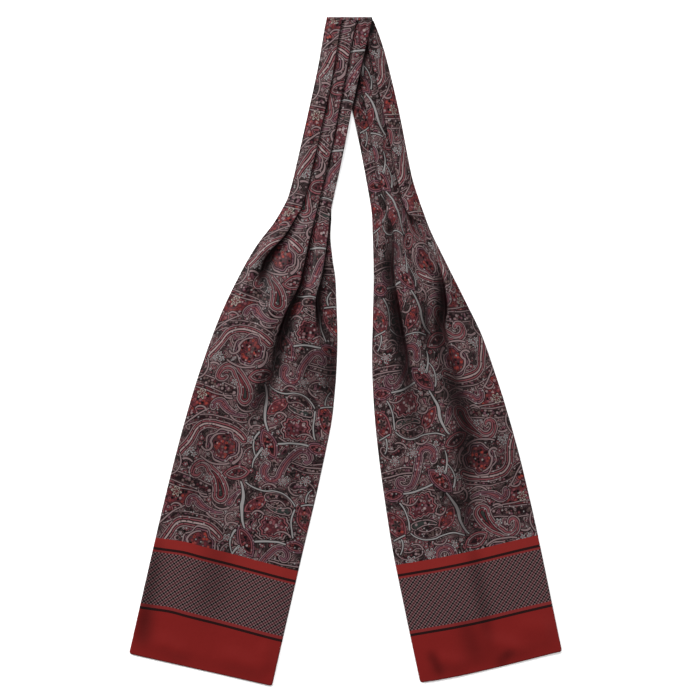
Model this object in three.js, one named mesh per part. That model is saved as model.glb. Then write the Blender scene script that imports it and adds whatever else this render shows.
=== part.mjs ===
// A silk day cravat, laid flat and folded over at the middle of its neck.
// Two flat silk tubes, the blades, hang from a neck that is pleated and stitched down.
// The left half shows its pleated side and lies over the right half, which shows its reverse.
// Lengths are millimetres. +Z is up, the cloth rests on z = 0, and +Y points to the neck fold.
import * as THREE from 'three';

// Cloth and folds
const WALL = 1;                    // thickness of one modelled layer
const SEAM_GAP = 0.3;              // left free where two pieces meet
const PRESSED_BEND = 0.8;          // radius of a pressed pleat, at the middle of the wall
const PRESSED_TUCK = 5;            // depth of a pressed pleat's return
const MITRE_LIMIT = 0.7;           // keeps a wall from spiking at a sharp corner
const OPEN_BEND_ARC = 0.8;         // least length of each bend of a pleat that has opened
const LEAST_TURN = 0.5;            // degrees a pleat still turns where it has opened flat
const PLEAT_MARGIN = 1.4;          // clear run of a strip beside the pleat under it
const STRIP_STEP = 0.6;            // flat start of a strip beside the fold over it
const LEAST_RISE = 1.5;            // shortest rise of a strip that a fold hides
const SWELL_SHARE = 0.12;          // most that a strip swells, for its width
const SIDE_ROLL = 1.3;             // width of the rounded fold along a blade's side
const BACK_INSET = 2;              // back layer's edge, in from the side fold
const HEM_CORNER = 5;              // radius of the hem's corners
const HEM_ROLL = 1.3;              // length of the rounded edge along a hem

// Where the stretches of one half begin and end, measured along it from the neck fold
const RELEASE = 190;               // end of the stitching, where the pleats open into the blade
const OVER_BACK = 202;             // from here on, the upper layer has room for the back layer
const BACK_START = 204;            // top of the blade's back layer
const SQUARE_FROM = 60;            // from here on, cross sections are square to the half

// The fold over the neck
const FOLD_CENTRE = { x: 3.8, y: 321.4 };
const NECK_HEIGHT = WALL + 4 * PRESSED_BEND;
const CROSSING_LIFT = NECK_HEIGHT + SEAM_GAP;  // height of the left neck where it crosses the right one
const CROSSING_EDGE = -21;         // edge of the right neck that the left one climbs over
const CROSSING_RUN = 29;           // length of that climb, across the right neck
const TURN_TOP = CROSSING_LIFT + NECK_HEIGHT;
const TURN_STEPS = 8;              // faces round the turn

// Points along a cross section
const STRIP_POINTS = 5;            // along the rise of one strip
const BEND_POINTS = 3;             // round one bend of a pleat
const EDGE_POINTS = 2;             // round one side fold

// A pleat where it is pressed and stitched down
const PRESSED = { turn: 180, tuck: PRESSED_TUCK, bend: PRESSED_BEND };

// Each half is described from its outer side (negative) to its inner side (positive)
const LEFT = {
  angle: -12.76,                   // degrees that the half leans from straight down, + to the right
  length: 644.4,
  side: 1,                         // outer side is on the viewer's left
  lifted: true,
  reach: [
    { along: 0, outer: 21.1, inner: 21.0 },
    { along: 60, outer: 18.8, inner: 21.0 },
    { along: 140, outer: 18.5, inner: 22.7 },
    { along: 180, outer: 19.2, inner: 23.2 },
    { along: 190, outer: 21.0, inner: 25.2 },
    { along: 210, outer: 27.2, inner: 28.7 },
    { along: 230, outer: 36.5, inner: 35.2 },
    { along: 250, outer: 43.7, inner: 42.7 },
    { along: 270, outer: 49.2, inner: 48.2 },
    { along: 310, outer: 58.0, inner: 58.2 },
    { along: 350, outer: 63.5, inner: 65.2 },
    { along: 390, outer: 67.2, inner: 69.5 },
    { along: 460, outer: 70.2, inner: 70.4 },
    { along: 520, outer: 71.1, inner: 69.8 },
    { along: 644.4, outer: 71.3, inner: 69.5 },
  ],
  // line: the fold edge that shows. turn: degrees it is folded under. tuck: depth of the return.
  pleats: [
    [
      { along: 0, line: -5.9, ...PRESSED },
      { along: 74, line: -2.7, ...PRESSED },
      { along: 186, line: -3.5, ...PRESSED },
      { along: 201, line: -7.7, turn: 158, tuck: 4.5, bend: 0.9 },
      { along: 219, line: -13.5, turn: 128, tuck: 4, bend: 1.3 },
      { along: 230, line: -19.5, turn: 105, tuck: 4, bend: 1.6 },
      { along: 247, line: -24.5, turn: 66, tuck: 3.5, bend: 2.0 },
      { along: 266, line: -26.0, turn: 28, tuck: 3, bend: 2.0 },
      { along: 290, line: -27.0, turn: 0, tuck: 3, bend: 2.0 },
    ],
    [
      { along: 0, line: 7.7, ...PRESSED },
      { along: 84, line: 10.2, ...PRESSED },
      { along: 123, line: 11.4, ...PRESSED },
      { along: 189, line: 10.8, ...PRESSED },
      { along: 221, line: 10.2, turn: 150, tuck: 4.5, bend: 1.2 },
      { along: 257, line: 10.6, turn: 118, tuck: 4.5, bend: 1.8 },
      { along: 294, line: 6.0, turn: 80, tuck: 4.5, bend: 2.2 },
      { along: 324, line: 4.5, turn: 45, tuck: 4, bend: 2.2 },
      { along: 362, line: 6.5, turn: 14, tuck: 3, bend: 2.2 },
      { along: 390, line: 7.0, turn: 0, tuck: 3, bend: 2.2 },
    ],
    [
      { along: 0, line: 22.1, ...PRESSED },
      { along: 60, line: 22.0, ...PRESSED },
      { along: 140, line: 23.7, ...PRESSED },
      { along: 189, line: 24.2, ...PRESSED },
      { along: 210, line: 26.4, turn: 162, tuck: 4.5, bend: 0.9 },
      { along: 241, line: 29.0, turn: 125, tuck: 4.5, bend: 1.5 },
      { along: 266, line: 29.4, turn: 92, tuck: 4.5, bend: 2.0 },
      { along: 295, line: 36.0, turn: 50, tuck: 4, bend: 2.0 },
      { along: 311, line: 42.0, turn: 22, tuck: 3, bend: 2.0 },
      { along: 335, line: 45.0, turn: 0, tuck: 3, bend: 2.0 },
    ],
  ],
  // ridges: soft ridges of each strip between two fold lines
  ridges: [1, 1, 1, 1],
  swell: [
    { along: 190, height: 0 },
    { along: 215, height: 1.2 },
    { along: 245, height: 3.0 },
    { along: 290, height: 3.2 },
    { along: 330, height: 2.0 },
    { along: 370, height: 0.8 },
    { along: 405, height: 0 },
  ],
};

const RIGHT = {
  angle: 12.18,
  length: 639,
  side: -1,                        // outer side is on the viewer's right
  lifted: false,
  reach: [
    { along: 0, outer: 21.6, inner: 20.8 },
    { along: 40, outer: 25.4, inner: 18.0 },
    { along: 100, outer: 27.4, inner: 16.5 },
    { along: 160, outer: 26.3, inner: 17.7 },
    { along: 190, outer: 28.7, inner: 19.2 },
    { along: 210, outer: 31.2, inner: 22.5 },
    { along: 250, outer: 40.5, inner: 30.2 },
    { along: 290, outer: 50.8, inner: 39.7 },
    { along: 330, outer: 60.2, inner: 49.0 },
    { along: 360, outer: 63.9, inner: 54.4 },
    { along: 400, outer: 67.8, inner: 59.8 },
    { along: 460, outer: 71.0, inner: 64.9 },
    { along: 520, outer: 71.8, inner: 67.9 },
    { along: 639, outer: 71.0, inner: 68.5 },
  ],
  pleats: [
    [
      { along: 0, line: -7.5, ...PRESSED },
      { along: 40, line: -10.8, ...PRESSED },
      { along: 82, line: -12.3, ...PRESSED },
      { along: 177, line: -11.6, ...PRESSED },
      { along: 191, line: -13.3, turn: 165, tuck: 5, bend: 0.8 },
      { along: 220, line: -20.0, turn: 112, tuck: 3.5, bend: 1.4 },
      { along: 265, line: -31.0, turn: 74, tuck: 3.5, bend: 2.2 },
      { along: 291, line: -29.0, turn: 66, tuck: 4, bend: 2.4 },
      { along: 315, line: -22.0, turn: 60, tuck: 4, bend: 2.4 },
      { along: 347, line: -23.5, turn: 42, tuck: 3.5, bend: 2.4 },
      { along: 377, line: -22.0, turn: 18, tuck: 3, bend: 2.4 },
      { along: 410, line: -20.0, turn: 0, tuck: 3, bend: 2.4 },
    ],
    [
      { along: 0, line: 4.5, ...PRESSED },
      { along: 96, line: 3.4, ...PRESSED },
      { along: 139, line: 5.6, ...PRESSED },
      { along: 188, line: 4.6, turn: 172, tuck: 5, bend: 0.8 },
      { along: 214, line: 6.4, turn: 118, tuck: 3.5, bend: 1.3 },
      { along: 252, line: 15.0, turn: 76, tuck: 3.5, bend: 2.2 },
      { along: 295, line: 16.8, turn: 56, tuck: 4, bend: 2.4 },
      { along: 347, line: 19.0, turn: 26, tuck: 3.5, bend: 2.4 },
      { along: 390, line: 20.0, turn: 0, tuck: 3, bend: 2.4 },
    ],
  ],
  ridges: [1, 2, 1],
  swell: [
    { along: 190, height: 0 },
    { along: 215, height: 1.5 },
    { along: 250, height: 3.4 },
    { along: 300, height: 3.2 },
    { along: 350, height: 1.8 },
    { along: 390, height: 0.7 },
    { along: 425, height: 0 },
  ],
};

// Middle of the wall above the surface: alone in the neck, over the back layer in a blade
const REST = [
  { along: RELEASE, height: WALL / 2 },
  { along: OVER_BACK, height: WALL * 1.5 + SEAM_GAP },
];

// Where each stretch has its cross sections
const NECK_PLACES = [35, 75, 108, 138, 164, 181];
const BLADE_PLACES = [196, 203, 211, 220, 230, 240, 252, 265, 279, 294, 310, 328, 348, 370, 395, 430, 520];
const HEM_PLACES = [5, 2.3, 1.2, 0.45, 0];       // distances from a front's hem
const BACK_HEM_PLACES = [3, 1, 0];               // distances from a back's hem

const printedSilk = new THREE.MeshStandardMaterial({ color: 0x5a4444, roughness: 0.55, metalness: 0 });

const radians = THREE.MathUtils.degToRad;
const smooth = (value) => THREE.MathUtils.smoothstep(value, 0, 1);

// Slope of a table column at one row, kept low enough that the curve never overshoots
function slopeAt(rows, column, i) {
  if (i === 0 || i === rows.length - 1) {
    return 0;
  }
  const before = rows[i].along - rows[i - 1].along;
  const after = rows[i + 1].along - rows[i].along;
  const rise = (rows[i][column] - rows[i - 1][column]) / before;
  const next = (rows[i + 1][column] - rows[i][column]) / after;
  if (rise * next <= 0) {
    return 0;
  }
  return (rise * next * (before + after)) / (rise * before + next * after);
}

// Value of a table column at a place along the half, on a smooth curve through the rows
function read(rows, column, along) {
  const last = rows.length - 1;
  if (along <= rows[0].along) {
    return rows[0][column];
  }
  if (along >= rows[last].along) {
    return rows[last][column];
  }
  let i = 0;
  while (rows[i + 1].along < along) {
    i += 1;
  }
  const span = rows[i + 1].along - rows[i].along;
  const t = (along - rows[i].along) / span;
  const start = rows[i][column];
  const end = rows[i + 1][column];
  const ease = t * t * (3 - 2 * t);
  const startSlope = slopeAt(rows, column, i) * span * t * (1 - t) * (1 - t);
  const endSlope = slopeAt(rows, column, i + 1) * span * t * t * (t - 1);
  return start + (end - start) * ease + startSlope + endSlope;
}

// One pleat's middle line, as steps across and up from the end of the strip that it folds under
function pleatSteps(pleat, along) {
  const turn = radians(Math.max(read(pleat, 'turn', along), LEAST_TURN));
  const tuck = read(pleat, 'tuck', along);
  const bend = Math.max(read(pleat, 'bend', along), OPEN_BEND_ARC / turn);
  const steps = [];
  for (let i = 1; i <= BEND_POINTS; i += 1) {
    const angle = (turn * i) / BEND_POINTS;
    steps.push({ across: bend * Math.sin(angle), up: bend * (Math.cos(angle) - 1) });
  }
  const under = steps[steps.length - 1];
  const across = under.across + tuck * Math.cos(turn);
  const up = under.up - tuck * Math.sin(turn);
  for (let i = 0; i <= BEND_POINTS; i += 1) {
    const angle = turn * (1 - i / BEND_POINTS);
    steps.push({
      across: across + bend * (Math.sin(turn) - Math.sin(angle)),
      up: up - bend * (Math.cos(angle) - Math.cos(turn)),
    });
  }
  return steps;
}

// A hem corner takes the side in by the sagitta of its arc
function cornerInset(toHem, radius) {
  const run = Math.max(0, radius - toHem);
  return radius - Math.sqrt(radius * radius - run * run);
}

// Middle of the upper wall above the surface. At the hem it rolls down to the surface.
function restHeight(half, along) {
  const rest = read(REST, 'height', along);
  const rolled = cornerInset(half.length - along, HEM_ROLL) / HEM_ROLL;
  return rest - (rest - WALL / 2) * rolled;
}

// Middle line of the upper layer's cross section, from the outer side to the inner one
function upperSection(half, along) {
  const rest = restHeight(half, along);
  const drop = rest - WALL / 2;
  const swell = read(half.swell, 'height', along);
  const inset = cornerInset(half.length - along, HEM_CORNER) + WALL / 2 + SIDE_ROLL;
  const outer = inset - read(half.reach, 'outer', along);
  const inner = read(half.reach, 'inner', along) - inset;
  const line = [];
  for (let i = 0; i < EDGE_POINTS; i += 1) {
    const angle = radians(90) * (1 - i / EDGE_POINTS);
    line.push({ across: outer - SIDE_ROLL * Math.sin(angle), up: rest - drop * (1 - Math.cos(angle)) });
  }
  let start = outer;
  let shownFrom = outer;
  half.ridges.forEach((ridges, strip) => {
    const pleat = half.pleats[strip];
    const steps = pleat ? pleatSteps(pleat, along) : [];
    const fold = pleat ? read(pleat, 'line', along) - WALL / 2 : inner;
    const reach = Math.max(0, ...steps.map((step) => step.across));
    const under = Math.max(0, ...steps.map((step) => -step.across));
    const end = fold - reach;
    const top = pleat ? rest - steps[steps.length - 1].up : rest;
    const riseTo = pleat ? end - under - PLEAT_MARGIN : end - STRIP_STEP;
    const riseFrom = Math.min(Math.max(start, shownFrom) + STRIP_STEP, riseTo - LEAST_RISE);
    const height = Math.min(swell, SWELL_SHARE * (riseTo - riseFrom));
    line.push({ across: start, up: rest });
    for (let i = 0; i <= STRIP_POINTS; i += 1) {
      const share = i / STRIP_POINTS;
      const wave = Math.sin(ridges * Math.PI * share) ** 2;
      line.push({
        across: riseFrom + (riseTo - riseFrom) * share,
        up: rest + (top - rest) * smooth(share) + height * wave,
      });
    }
    line.push({ across: end, up: top });
    steps.slice(0, -1).forEach((step) => line.push({ across: end + step.across, up: top + step.up }));
    if (pleat) {
      start = end + steps[steps.length - 1].across;
      shownFrom = fold + WALL / 2;
    }
  });
  for (let i = 1; i <= EDGE_POINTS; i += 1) {
    const angle = (radians(90) * i) / EDGE_POINTS;
    line.push({ across: inner + SIDE_ROLL * Math.sin(angle), up: rest - drop * (1 - Math.cos(angle)) });
  }
  return line;
}

// Middle line of the back layer's cross section
function backSection(half, along) {
  const toHem = half.length - BACK_INSET - along;
  const inset = cornerInset(toHem, HEM_CORNER - BACK_INSET) + BACK_INSET;
  const outer = inset - read(half.reach, 'outer', along);
  const inner = read(half.reach, 'inner', along) - inset;
  return [outer, (outer + inner) / 2, inner].map((across) => ({ across, up: WALL / 2 }));
}

// Closed ring round a middle line, half a wall out on each side
function wallRing(line) {
  const above = [];
  const below = [];
  line.forEach((point, i) => {
    const before = line[Math.max(i - 1, 0)];
    const after = line[Math.min(i + 1, line.length - 1)];
    const first = new THREE.Vector2(point.across - before.across, point.up - before.up).normalize();
    const second = new THREE.Vector2(after.across - point.across, after.up - point.up).normalize();
    const normal = new THREE.Vector2(-first.y - second.y, first.x + second.x).normalize();
    const along = i === 0 ? second : first;
    const stretch = WALL / 2 / Math.max(normal.dot(new THREE.Vector2(-along.y, along.x)), MITRE_LIMIT);
    above.push({ across: point.across + normal.x * stretch, up: point.up + normal.y * stretch });
    below.push({ across: point.across - normal.x * stretch, up: point.up - normal.y * stretch });
  });
  return [...above, ...below.reverse()];
}

// Directions of a half on the surface: down its length, and across it to the viewer's right
function directions(half) {
  const lean = radians(half.angle);
  return {
    down: new THREE.Vector2(Math.sin(lean), -Math.cos(lean)),
    right: new THREE.Vector2(Math.cos(lean), Math.sin(lean)),
  };
}

// Height that the left half is lifted by where it crosses the right neck
function crossingLift(half, offset) {
  if (!half.lifted) {
    return 0;
  }
  const acrossRight = offset.dot(directions(RIGHT).right);
  return CROSSING_LIFT * smooth((acrossRight - CROSSING_EDGE + CROSSING_RUN) / CROSSING_RUN);
}

// Point of a cross section in the part's frame. Near the fold the sections run along the fold line.
function place(half, along, point) {
  const { down, right } = directions(half);
  const across = point.across * half.side;
  const slant = (-right.y / down.y) * (1 - smooth(along / SQUARE_FROM));
  const offset = down.clone().multiplyScalar(along + across * slant).addScaledVector(right, across);
  const up = point.up + crossingLift(half, offset);
  return new THREE.Vector3(FOLD_CENTRE.x + offset.x, FOLD_CENTRE.y + offset.y, up);
}

// Closed body through a row of rings, with its two ends closed by the given triangles
function bodyThroughRings(rings, endTriangles) {
  const size = rings[0].length;
  const index = [];
  for (let r = 0; r < rings.length - 1; r += 1) {
    for (let i = 0; i < size; i += 1) {
      const a = r * size + i;
      const b = r * size + ((i + 1) % size);
      index.push(a, b, a + size, b, b + size, a + size);
    }
  }
  const last = (rings.length - 1) * size;
  endTriangles.forEach(([a, b, c]) => {
    index.push(a, b, c);
    index.push(last + a, last + c, last + b);
  });
  const geometry = new THREE.BufferGeometry().setFromPoints(rings.flat());
  geometry.setIndex(index);
  return geometry;
}

// Turns the faces of a body outwards where its rings ran the other way round
function facingOut(geometry) {
  const corner = geometry.getAttribute('position');
  const index = geometry.getIndex();
  const [a, b, c] = [new THREE.Vector3(), new THREE.Vector3(), new THREE.Vector3()];
  let volume = 0;
  for (let i = 0; i < index.count; i += 3) {
    a.fromBufferAttribute(corner, index.getX(i));
    b.fromBufferAttribute(corner, index.getX(i + 1));
    c.fromBufferAttribute(corner, index.getX(i + 2));
    volume += a.dot(b.cross(c));
  }
  if (volume < 0) {
    index.array.reverse();
  }
  geometry.computeVertexNormals();
  return geometry;
}

// One layer of cloth through the cross sections at the given places
function clothLayer(name, half, section, places) {
  const rings = places.map((along) => wallRing(section(half, along)).map((point) => place(half, along, point)));
  const size = rings[0].length;
  const ends = [];
  for (let i = 0; i < size / 2 - 1; i += 1) {
    ends.push([i, size - 1 - i, i + 1], [i + 1, size - 1 - i, size - 2 - i]);
  }
  const mesh = new THREE.Mesh(facingOut(bodyThroughRings(rings, ends)), printedSilk);
  mesh.name = name;
  return mesh;
}

// Outline of the left neck's upper side where it goes into the turn
function turnOutline(along) {
  const middle = upperSection(LEFT, along);
  const outline = [];
  middle.forEach((point) => {
    const shown = middle.every((other) => Math.abs(other.across - point.across) > WALL / 2 || other.up <= point.up);
    const last = outline[outline.length - 1];
    if (shown && (!last || point.across > last.across + WALL / 4)) {
      outline.push({ across: point.across, up: point.up + WALL / 2 + CROSSING_LIFT });
    }
  });
  return outline;
}

// The turn of the neck over the fold line: its layers share one rounded solid
function neckTurn(along) {
  const centre = TURN_TOP / 2;
  const { down, right } = directions(LEFT);
  const widen = right.x - (right.y / down.y) * down.x;
  const shift = along * down.x;
  const rings = turnOutline(along).map((point) => {
    const ring = [];
    for (let i = 0; i <= TURN_STEPS; i += 1) {
      const angle = (Math.PI * i) / TURN_STEPS;
      const radius = centre + (point.up - TURN_TOP) * (1 - smooth(i / TURN_STEPS));
      ring.push(new THREE.Vector3(
        FOLD_CENTRE.x + point.across * widen + shift * Math.cos(angle),
        FOLD_CENTRE.y - centre + radius * Math.sin(angle),
        centre + radius * Math.cos(angle),
      ));
    }
    return ring;
  });
  const ends = [];
  for (let i = 1; i < TURN_STEPS; i += 1) {
    ends.push([0, i + 1, i]);
  }
  const mesh = new THREE.Mesh(facingOut(bodyThroughRings(rings, ends)), printedSilk);
  mesh.name = 'neck_turn';
  return mesh;
}

const cravat = new THREE.Group();
const turnDepth = TURN_TOP / 2;
[[LEFT, 'left'], [RIGHT, 'right']].forEach(([half, side]) => {
  const neckStart = (turnDepth + SEAM_GAP) / Math.cos(radians(half.angle));
  const hem = HEM_PLACES.map((toHem) => half.length - toHem);
  const backHem = BACK_HEM_PLACES.map((toHem) => half.length - BACK_INSET - toHem);
  const neck = [neckStart, ...NECK_PLACES, RELEASE - SEAM_GAP / 2];
  const front = [RELEASE + SEAM_GAP / 2, ...BLADE_PLACES, ...hem];
  const underFront = BLADE_PLACES.filter((along) => along > BACK_START);
  const back = [BACK_START, ...underFront, ...backHem];
  cravat.add(clothLayer(`${side}_neck_pleats`, half, upperSection, neck));
  cravat.add(clothLayer(`${side}_blade_front`, half, upperSection, front));
  cravat.add(clothLayer(`${side}_blade_back`, half, backSection, back));
});
cravat.add(neckTurn(turnDepth / Math.cos(radians(LEFT.angle))));

export default cravat;
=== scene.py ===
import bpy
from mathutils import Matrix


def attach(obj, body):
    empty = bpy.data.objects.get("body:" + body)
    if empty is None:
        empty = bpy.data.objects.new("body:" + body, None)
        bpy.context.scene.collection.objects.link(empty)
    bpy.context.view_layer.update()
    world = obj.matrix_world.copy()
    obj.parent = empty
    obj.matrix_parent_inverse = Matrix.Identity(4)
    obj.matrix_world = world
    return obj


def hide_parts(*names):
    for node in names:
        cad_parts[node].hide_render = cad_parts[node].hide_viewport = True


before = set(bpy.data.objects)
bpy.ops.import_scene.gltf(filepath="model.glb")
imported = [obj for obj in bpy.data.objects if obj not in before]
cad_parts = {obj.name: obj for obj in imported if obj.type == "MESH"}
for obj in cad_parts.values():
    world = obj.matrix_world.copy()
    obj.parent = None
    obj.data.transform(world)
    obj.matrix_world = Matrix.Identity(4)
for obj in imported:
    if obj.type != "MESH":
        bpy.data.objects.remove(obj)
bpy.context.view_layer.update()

import math
from types import SimpleNamespace

import bpy
import numpy as np
from bpy.props import FloatProperty, FloatVectorProperty, PointerProperty
from mathutils import Vector

bl_info = {
    "name": "Printed silk cravat",
    "version": (1, 0, 0),
    "blender": (4, 5, 0),
    "location": "3D View > Sidebar > Cravat",
    "description": "A pleated silk day cravat, laid flat and folded over at its neck",
    "category": "Object",
}

# Lengths in the tables are millimetres
MM = 0.001
TINY = 1e-9               # keeps a division clear of nothing
SAME_HEIGHT = 1e-6        # heights that differ by less count as one
LEAST_FOLDED = 1e-3       # keeps the share that is folded under clear of nothing
BODY = "root"

# Cloth and folds, on the same forms as the solids
WALL = 1.0                # thickness of a solid's wall, which the silk runs in the middle of
SEAM_GAP = 0.3
PRESSED_BEND = 0.8
OPEN_BEND_ARC = 0.8       # least length of each bend of a pleat that has opened
LEAST_TURN = 0.5          # degrees a pleat still turns where it has opened flat
PLEAT_MARGIN = 1.4        # clear run of a strip beside the pleat under it
STRIP_STEP = 0.6          # flat start of a strip beside the fold over it
LEAST_RISE = 1.5          # shortest rise of a strip that a fold hides
SWELL_SHARE = 0.12        # most that a strip swells, for its width
SIDE_ROLL = 1.3           # width of the rounded fold along a blade's side
EDGE_INSET = 0.15         # edge of the silk's middle, in from the solid's side
BACK_INSET = 2.0          # back layer's edge, in from the side fold
HEM_CORNER = 2.4          # radius of the hem's corners
HEM_ROLL = 1.3            # length of the rounded edge along a hem

# Where the stretches of one half begin and end, measured along it from the neck fold
RELEASE = 190.0           # end of the stitching, where the pleats open into the blade
OVER_BACK = 202.0         # from here on, the upper layer has room for the back layer
BACK_START = 204.0        # top of the blade's back layer
SQUARE_FROM = 60.0        # from here on, cross sections are square to the half
BOW_FROM = 330.0          # from here on, the right blade's grain bows
BOW_RUN = 170.0           # length over which the bow grows

# The fold over the neck
FOLD_CENTRE = (3.8, 321.4)
NECK_HEIGHT = WALL + 4 * PRESSED_BEND
CROSSING_LIFT = NECK_HEIGHT + SEAM_GAP
CROSSING_EDGE = -21.0     # edge of the right neck that the left one climbs over
CROSSING_RUN = 29.0       # length of that climb, across the right neck
TURN_TOP = CROSSING_LIFT + NECK_HEIGHT
TURN_LAYERS = (1.0, 0.66, 0.33)   # share of the turn's height that each layer of cloth goes round
TURN_REACH = 0.8          # how far the turn bulges, for half its height

# Steps of the meshes
NECK_STEP = 1.7
BLADE_STEP = 1.75
HEM_STEPS = (3.4, 2.4, 1.7, 1.2, 0.8, 0.45, 0.2, 0.06, 0.0)
BACK_COLUMNS = 60
BACK_STEP = 2.2
BEND_POINTS = 6           # round one bend of a pleat
TUCK_POINTS = 3           # along a pleat's return
EDGE_POINTS = 5           # round one side fold
TURN_STEPS = 24           # round the neck's turn
END_STEP = 0.1            # past each end, for the slopes there

# The print on the flat cloth
CUT_WIDTH = 140.0         # one side of the blade's flat tube
HIDDEN_MOST = 34.0        # most cloth that one pleat takes in

# Shade painted into the silk's colour: in the pleats' folds, in the creases' troughs and beside the left
# neck
FOLD_SHADE_TURN = 70.0    # degrees from which a fold is fully shaded
PRESSED_SHADE = 0.95      # width of the shade beside a pressed pleat
OPEN_SHADE = 2.8          # how much it widens for each millimetre that the bend opens
SHADE_TINT = (0.05, 0.010, 0.016)   # share of each colour of light that reaches the deepest fold
TROUGH_SHADE = 0.84       # shade of a trough, for each millimetre of its depth
EDGE_SHADE = 5.6          # width of the shade beside the left neck, on the right one
EDGE_SHADE_RUN = 200.0    # length over which it would narrow to nothing
EDGE_SHADE_END = 125.0    # where that shade ends, along the left half
EDGE_SHADE_FADE = 20.0    # length over which it ends
EDGE_SHADE_LEAST = 0.2    # least share of its width
EDGE_SHADE_POWER = 6      # how sharply it ends across
FOLD_SHADE_FROM = 0.12    # share of a pleat's path before its shade starts
FOLD_SHADE_OVER = 0.25    # share of the path over which the shade grows

# Air in the blade's tube, which its creases sink into
LOFT = 1.1                # rise of the upper layer above its rest
LOFT_EDGE = 16.0          # width over which it rises from the sides and the hem
TROUGH_MOST = 0.25        # most that a trough sinks under the upper layer's rest
SOFT_FLOOR = 0.18         # softness of a trough's floor
BACK_RISE = 0.3           # most that the back layer's creases rise from the surface
LOOSE_RUN = 60.0          # length over which the cloth works loose below the pleats
CREASE_FADE = 2.5         # how fast a crease fades out towards its ends


def table(columns, rows):
    """Named columns of a short table"""
    return dict(zip(columns.split(), np.array(rows, float).T))


def pleat_table(rows):
    """One pleat: its fold line, the degrees it is folded under, the return's depth and the bend's radius"""
    return table("along line turn tuck bend", rows)


CREASE_COLUMNS = "across along length lean width height"
EVENLY_SHADED = table("along share", [(0, 1), (650, 1)])

# Each half is described from its outer side (negative) to its inner side (positive).
# Creases are placed by the viewer's left (negative) and right: a height below nothing is a trough.
LEFT = SimpleNamespace(
    name="left",
    angle=-12.76,
    length=644.4,
    side=1,
    lifted=True,
    reach=table("along outer inner", [
        (0, 21.1, 21.0), (60, 18.8, 21.0), (140, 18.5, 22.7), (180, 19.2, 23.2), (190, 21.0, 25.2),
        (210, 27.2, 28.7), (230, 36.5, 35.2), (250, 43.7, 42.7), (270, 49.2, 48.2), (310, 58.0, 58.2),
        (350, 63.5, 65.2), (390, 67.2, 69.5), (460, 70.2, 70.4), (520, 71.1, 69.8), (644.4, 71.3, 69.5),
    ]),
    pleats=[
        pleat_table([
            (0, -5.9, 180, 5, 0.8), (74, -2.7, 180, 5, 0.8), (186, -3.5, 180, 5, 0.8),
            (201, -7.7, 158, 4.5, 0.9), (219, -13.5, 128, 4, 1.3), (230, -19.5, 105, 4, 1.6),
            (247, -24.5, 66, 3.5, 2.0), (266, -26.0, 28, 3, 2.0), (290, -27.0, 0, 3, 2.0),
        ]),
        pleat_table([
            (0, 7.7, 180, 5, 0.8), (84, 10.2, 180, 5, 0.8), (123, 11.4, 180, 5, 0.8),
            (189, 10.8, 180, 5, 0.8), (221, 10.2, 150, 4.5, 1.2), (257, 10.6, 118, 4.5, 1.8),
            (294, 6.0, 80, 4.5, 2.2), (324, 4.5, 45, 4, 2.2), (362, 6.5, 14, 3, 2.2),
            (390, 7.0, 0, 3, 2.2),
        ]),
        pleat_table([
            (0, 22.1, 180, 5, 0.8), (60, 22.0, 180, 5, 0.8), (140, 23.7, 180, 5, 0.8),
            (189, 24.2, 180, 5, 0.8), (210, 26.4, 162, 4.5, 0.9), (241, 29.0, 125, 4.5, 1.5),
            (266, 30.4, 92, 4.5, 2.0), (295, 38.6, 50, 4, 2.0), (311, 44.0, 22, 3, 2.0),
            (335, 47.0, 0, 3, 2.0),
        ]),
    ],
    ridges=(1, 1, 1, 1),
    strip_points=26,
    swell=table("along height", [
        (190, 0), (215, 1.2), (245, 3.0), (290, 3.2), (330, 2.0), (370, 0.8), (405, 0),
    ]),
    creases=table(CREASE_COLUMNS, [
        (-26, 254, 44, -6, 6, -1.8), (-18, 273, 44, -6, 8, -0.5), (4.5, 316, 66, -3, 6, -1.5),
        (1, 360, 110, -10, 7, -2.0), (-20, 384, 80, -18, 9, 0.9),
        (-32, 322, 86, -9, 8, 0.9), (38, 346, 80, 7, 9, -0.6), (58, 338, 84, 7, 9, -1.9),
        (24, 388, 96, 4, 9, 0.8), (-50, 380, 80, -10, 8, 0.7), (-44, 462, 120, -5, 13, -0.5),
        (20, 478, 140, 4, 14, 0.7), (44, 432, 80, 10, 9, -0.5), (-8, 552, 130, 3, 15, -0.4),
        (47, 566, 110, -6, 13, 0.7), (-65, 580, 130, 2, 8, -0.8), (-24, 446, 60, -24, 8, 0.6),
        (-33, 629, 50, 72, 9, 1.6), (35, 628, 60, 80, 10, 1.6), (-63, 618, 50, 8, 9, -0.5),
        (58, 618, 36, 30, 8, 1.0),
    ]),
    hem_bow=table("along shift", [(-70, 0), (70, 0)]),
    border_shift=table("along shift", [
        (-70, -0.9), (-64, -0.4), (-40, 1.4), (-25, 0.7), (5, 0), (35, -1.1), (70, -2.2),
    ]),
    fold_shades=[EVENLY_SHADED] * 3,
    print_slip=table("along shift", [(0, -4.5), (200, -4.2), (300, -2), (400, 0), (645, 0)]),
    print_shift=0.0,
    print_way=1.0,
    print_start=-430.0,
)

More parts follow.
